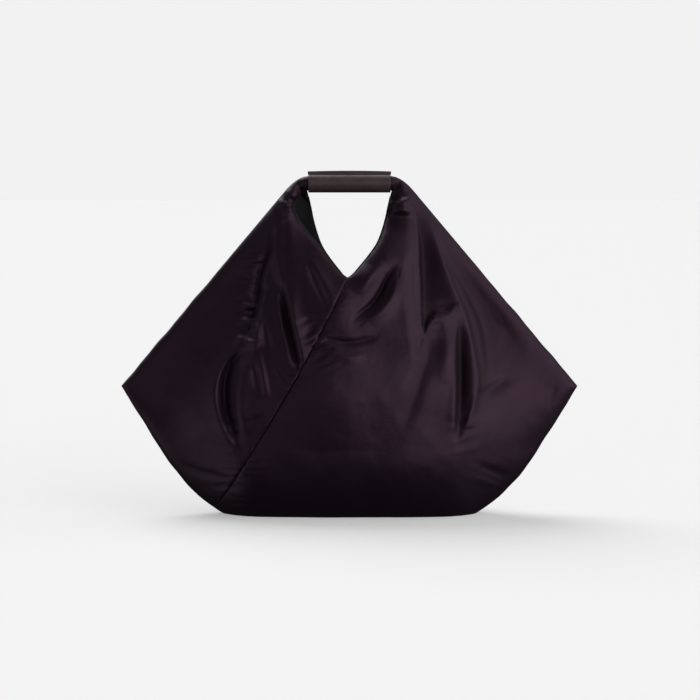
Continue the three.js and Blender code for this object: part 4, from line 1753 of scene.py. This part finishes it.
@dataclass
class Studio:
    """Floor, lights and camera.

    Attributes:
        target: the point in metres that the camera looks at.
        backdrop: brightness of the background.
        glow: brightness of the surrounding light from below and from above.
        floor_reach: half the floor's size in metres.
        elevation: how high the camera stands, in degrees.
        lens: its focal length in millimetres.
        view_width: how much of the target's plane it sees, in metres.
    """

    target: tuple[float, float, float] = (0.0007, 0.0, 0.1985)
    backdrop: float = 0.888
    glow: tuple[float, float] = (0.008, 0.037)
    floor_reach: float = 30.0
    elevation: float = 4.0
    lens: float = 135.0
    view_width: float = 0.8463

    def build(self, floor_material: bpy.types.Material) -> None:
        """Sets up the plain studio.

        Args:
            floor_material: the floor's material.
        """
        bm = bmesh.new()
        bmesh.ops.create_grid(bm, x_segments=1, y_segments=1, size=self.floor_reach)
        mesh = bpy.data.meshes.new("studio_floor")
        bm.to_mesh(mesh)
        bm.free()
        mesh.materials.append(floor_material)
        floor = bpy.data.objects.new("studio_floor", mesh)
        floor.visible_diffuse = False
        floor.visible_glossy = False
        floor.visible_shadow = False
        bpy.context.scene.collection.objects.link(floor)
        for lamp in LAMPS:
            self.add_light(lamp)
        self.add_world()
        self.add_camera()
        bpy.context.scene.view_settings.view_transform = "Standard"

    def add_world(self) -> None:
        """Surrounds the bag with soft light from above, against a plain pale background."""
        world = bpy.data.worlds.new("studio")
        world.use_nodes = True
        tree = world.node_tree
        tree.nodes.clear()
        output = tree.nodes.new("ShaderNodeOutputWorld")
        share = tree.nodes.new("ShaderNodeMixShader")
        path = tree.nodes.new("ShaderNodeLightPath")
        shown = tree.nodes.new("ShaderNodeBackground")
        shown.inputs["Color"].default_value = (self.backdrop, self.backdrop, self.backdrop, 1.0)
        lit = tree.nodes.new("ShaderNodeBackground")
        place = tree.nodes.new("ShaderNodeTexCoord")
        split = tree.nodes.new("ShaderNodeSeparateXYZ")
        ramp = tree.nodes.new("ShaderNodeValToRGB")
        for element, level, place_up in zip(ramp.color_ramp.elements, self.glow, (0.0, 1.0)):
            element.position = place_up
            element.color = (level, level, level, 1.0)
        tree.links.new(place.outputs["Generated"], split.inputs[0])
        tree.links.new(split.outputs["Z"], ramp.inputs["Fac"])
        tree.links.new(ramp.outputs["Color"], lit.inputs["Color"])
        tree.links.new(path.outputs["Is Camera Ray"], share.inputs[0])
        tree.links.new(lit.outputs[0], share.inputs[1])
        tree.links.new(shown.outputs[0], share.inputs[2])
        tree.links.new(share.outputs[0], output.inputs["Surface"])
        bpy.context.scene.world = world

    def add_light(self, lamp: Lamp) -> None:
        """Adds a soft far light.

        Args:
            lamp: where it stands and how strong it is.
        """
        around, height = math.radians(lamp.around), math.radians(lamp.height)
        level = math.cos(height)
        towards = Vector((math.sin(around) * level, -math.cos(around) * level, math.sin(height)))
        data = bpy.data.lights.new(lamp.name, "SUN")
        data.energy = lamp.power
        data.angle = math.radians(lamp.spread)
        light = bpy.data.objects.new(lamp.name, data)
        light.rotation_euler = towards.to_track_quat("Z", "Y").to_euler()
        bpy.context.scene.collection.objects.link(light)

    def add_camera(self) -> None:
        """Puts the camera at the photograph's viewing angle."""
        data = bpy.data.cameras.new("camera")
        data.lens = self.lens
        data.sensor_width = 36.0
        data.clip_end = 100.0
        distance = self.lens * self.view_width / data.sensor_width
        tilt = math.radians(self.elevation)
        place = Vector(self.target) + distance * Vector((0.0, -math.cos(tilt), math.sin(tilt)))
        camera = bpy.data.objects.new("camera", data)
        camera.location = place
        camera.rotation_euler = (Vector(self.target) - place).to_track_quat("-Z", "Y").to_euler()
        bpy.context.scene.collection.objects.link(camera)
        bpy.context.scene.camera = camera


def main() -> None:
    """Builds the bag's pieces in order and reports each one."""
    logging.basicConfig(level=logging.INFO, format="%(name)s: %(message)s")
    form = BagForm()
    Studio().build(FloorFinish().build())
    satin = SatinFinish().build()
    PaddedPanel(form, "left_panel", False).build(satin)
    PaddedPanel(form, "right_panel", True).build(satin)
    Lining(form).build(LiningFinish().build())
    HandleSleeve(form.sizes).build(LeatherFinish().build(), ThreadFinish().build())


if __name__ == "__main__":
    main()
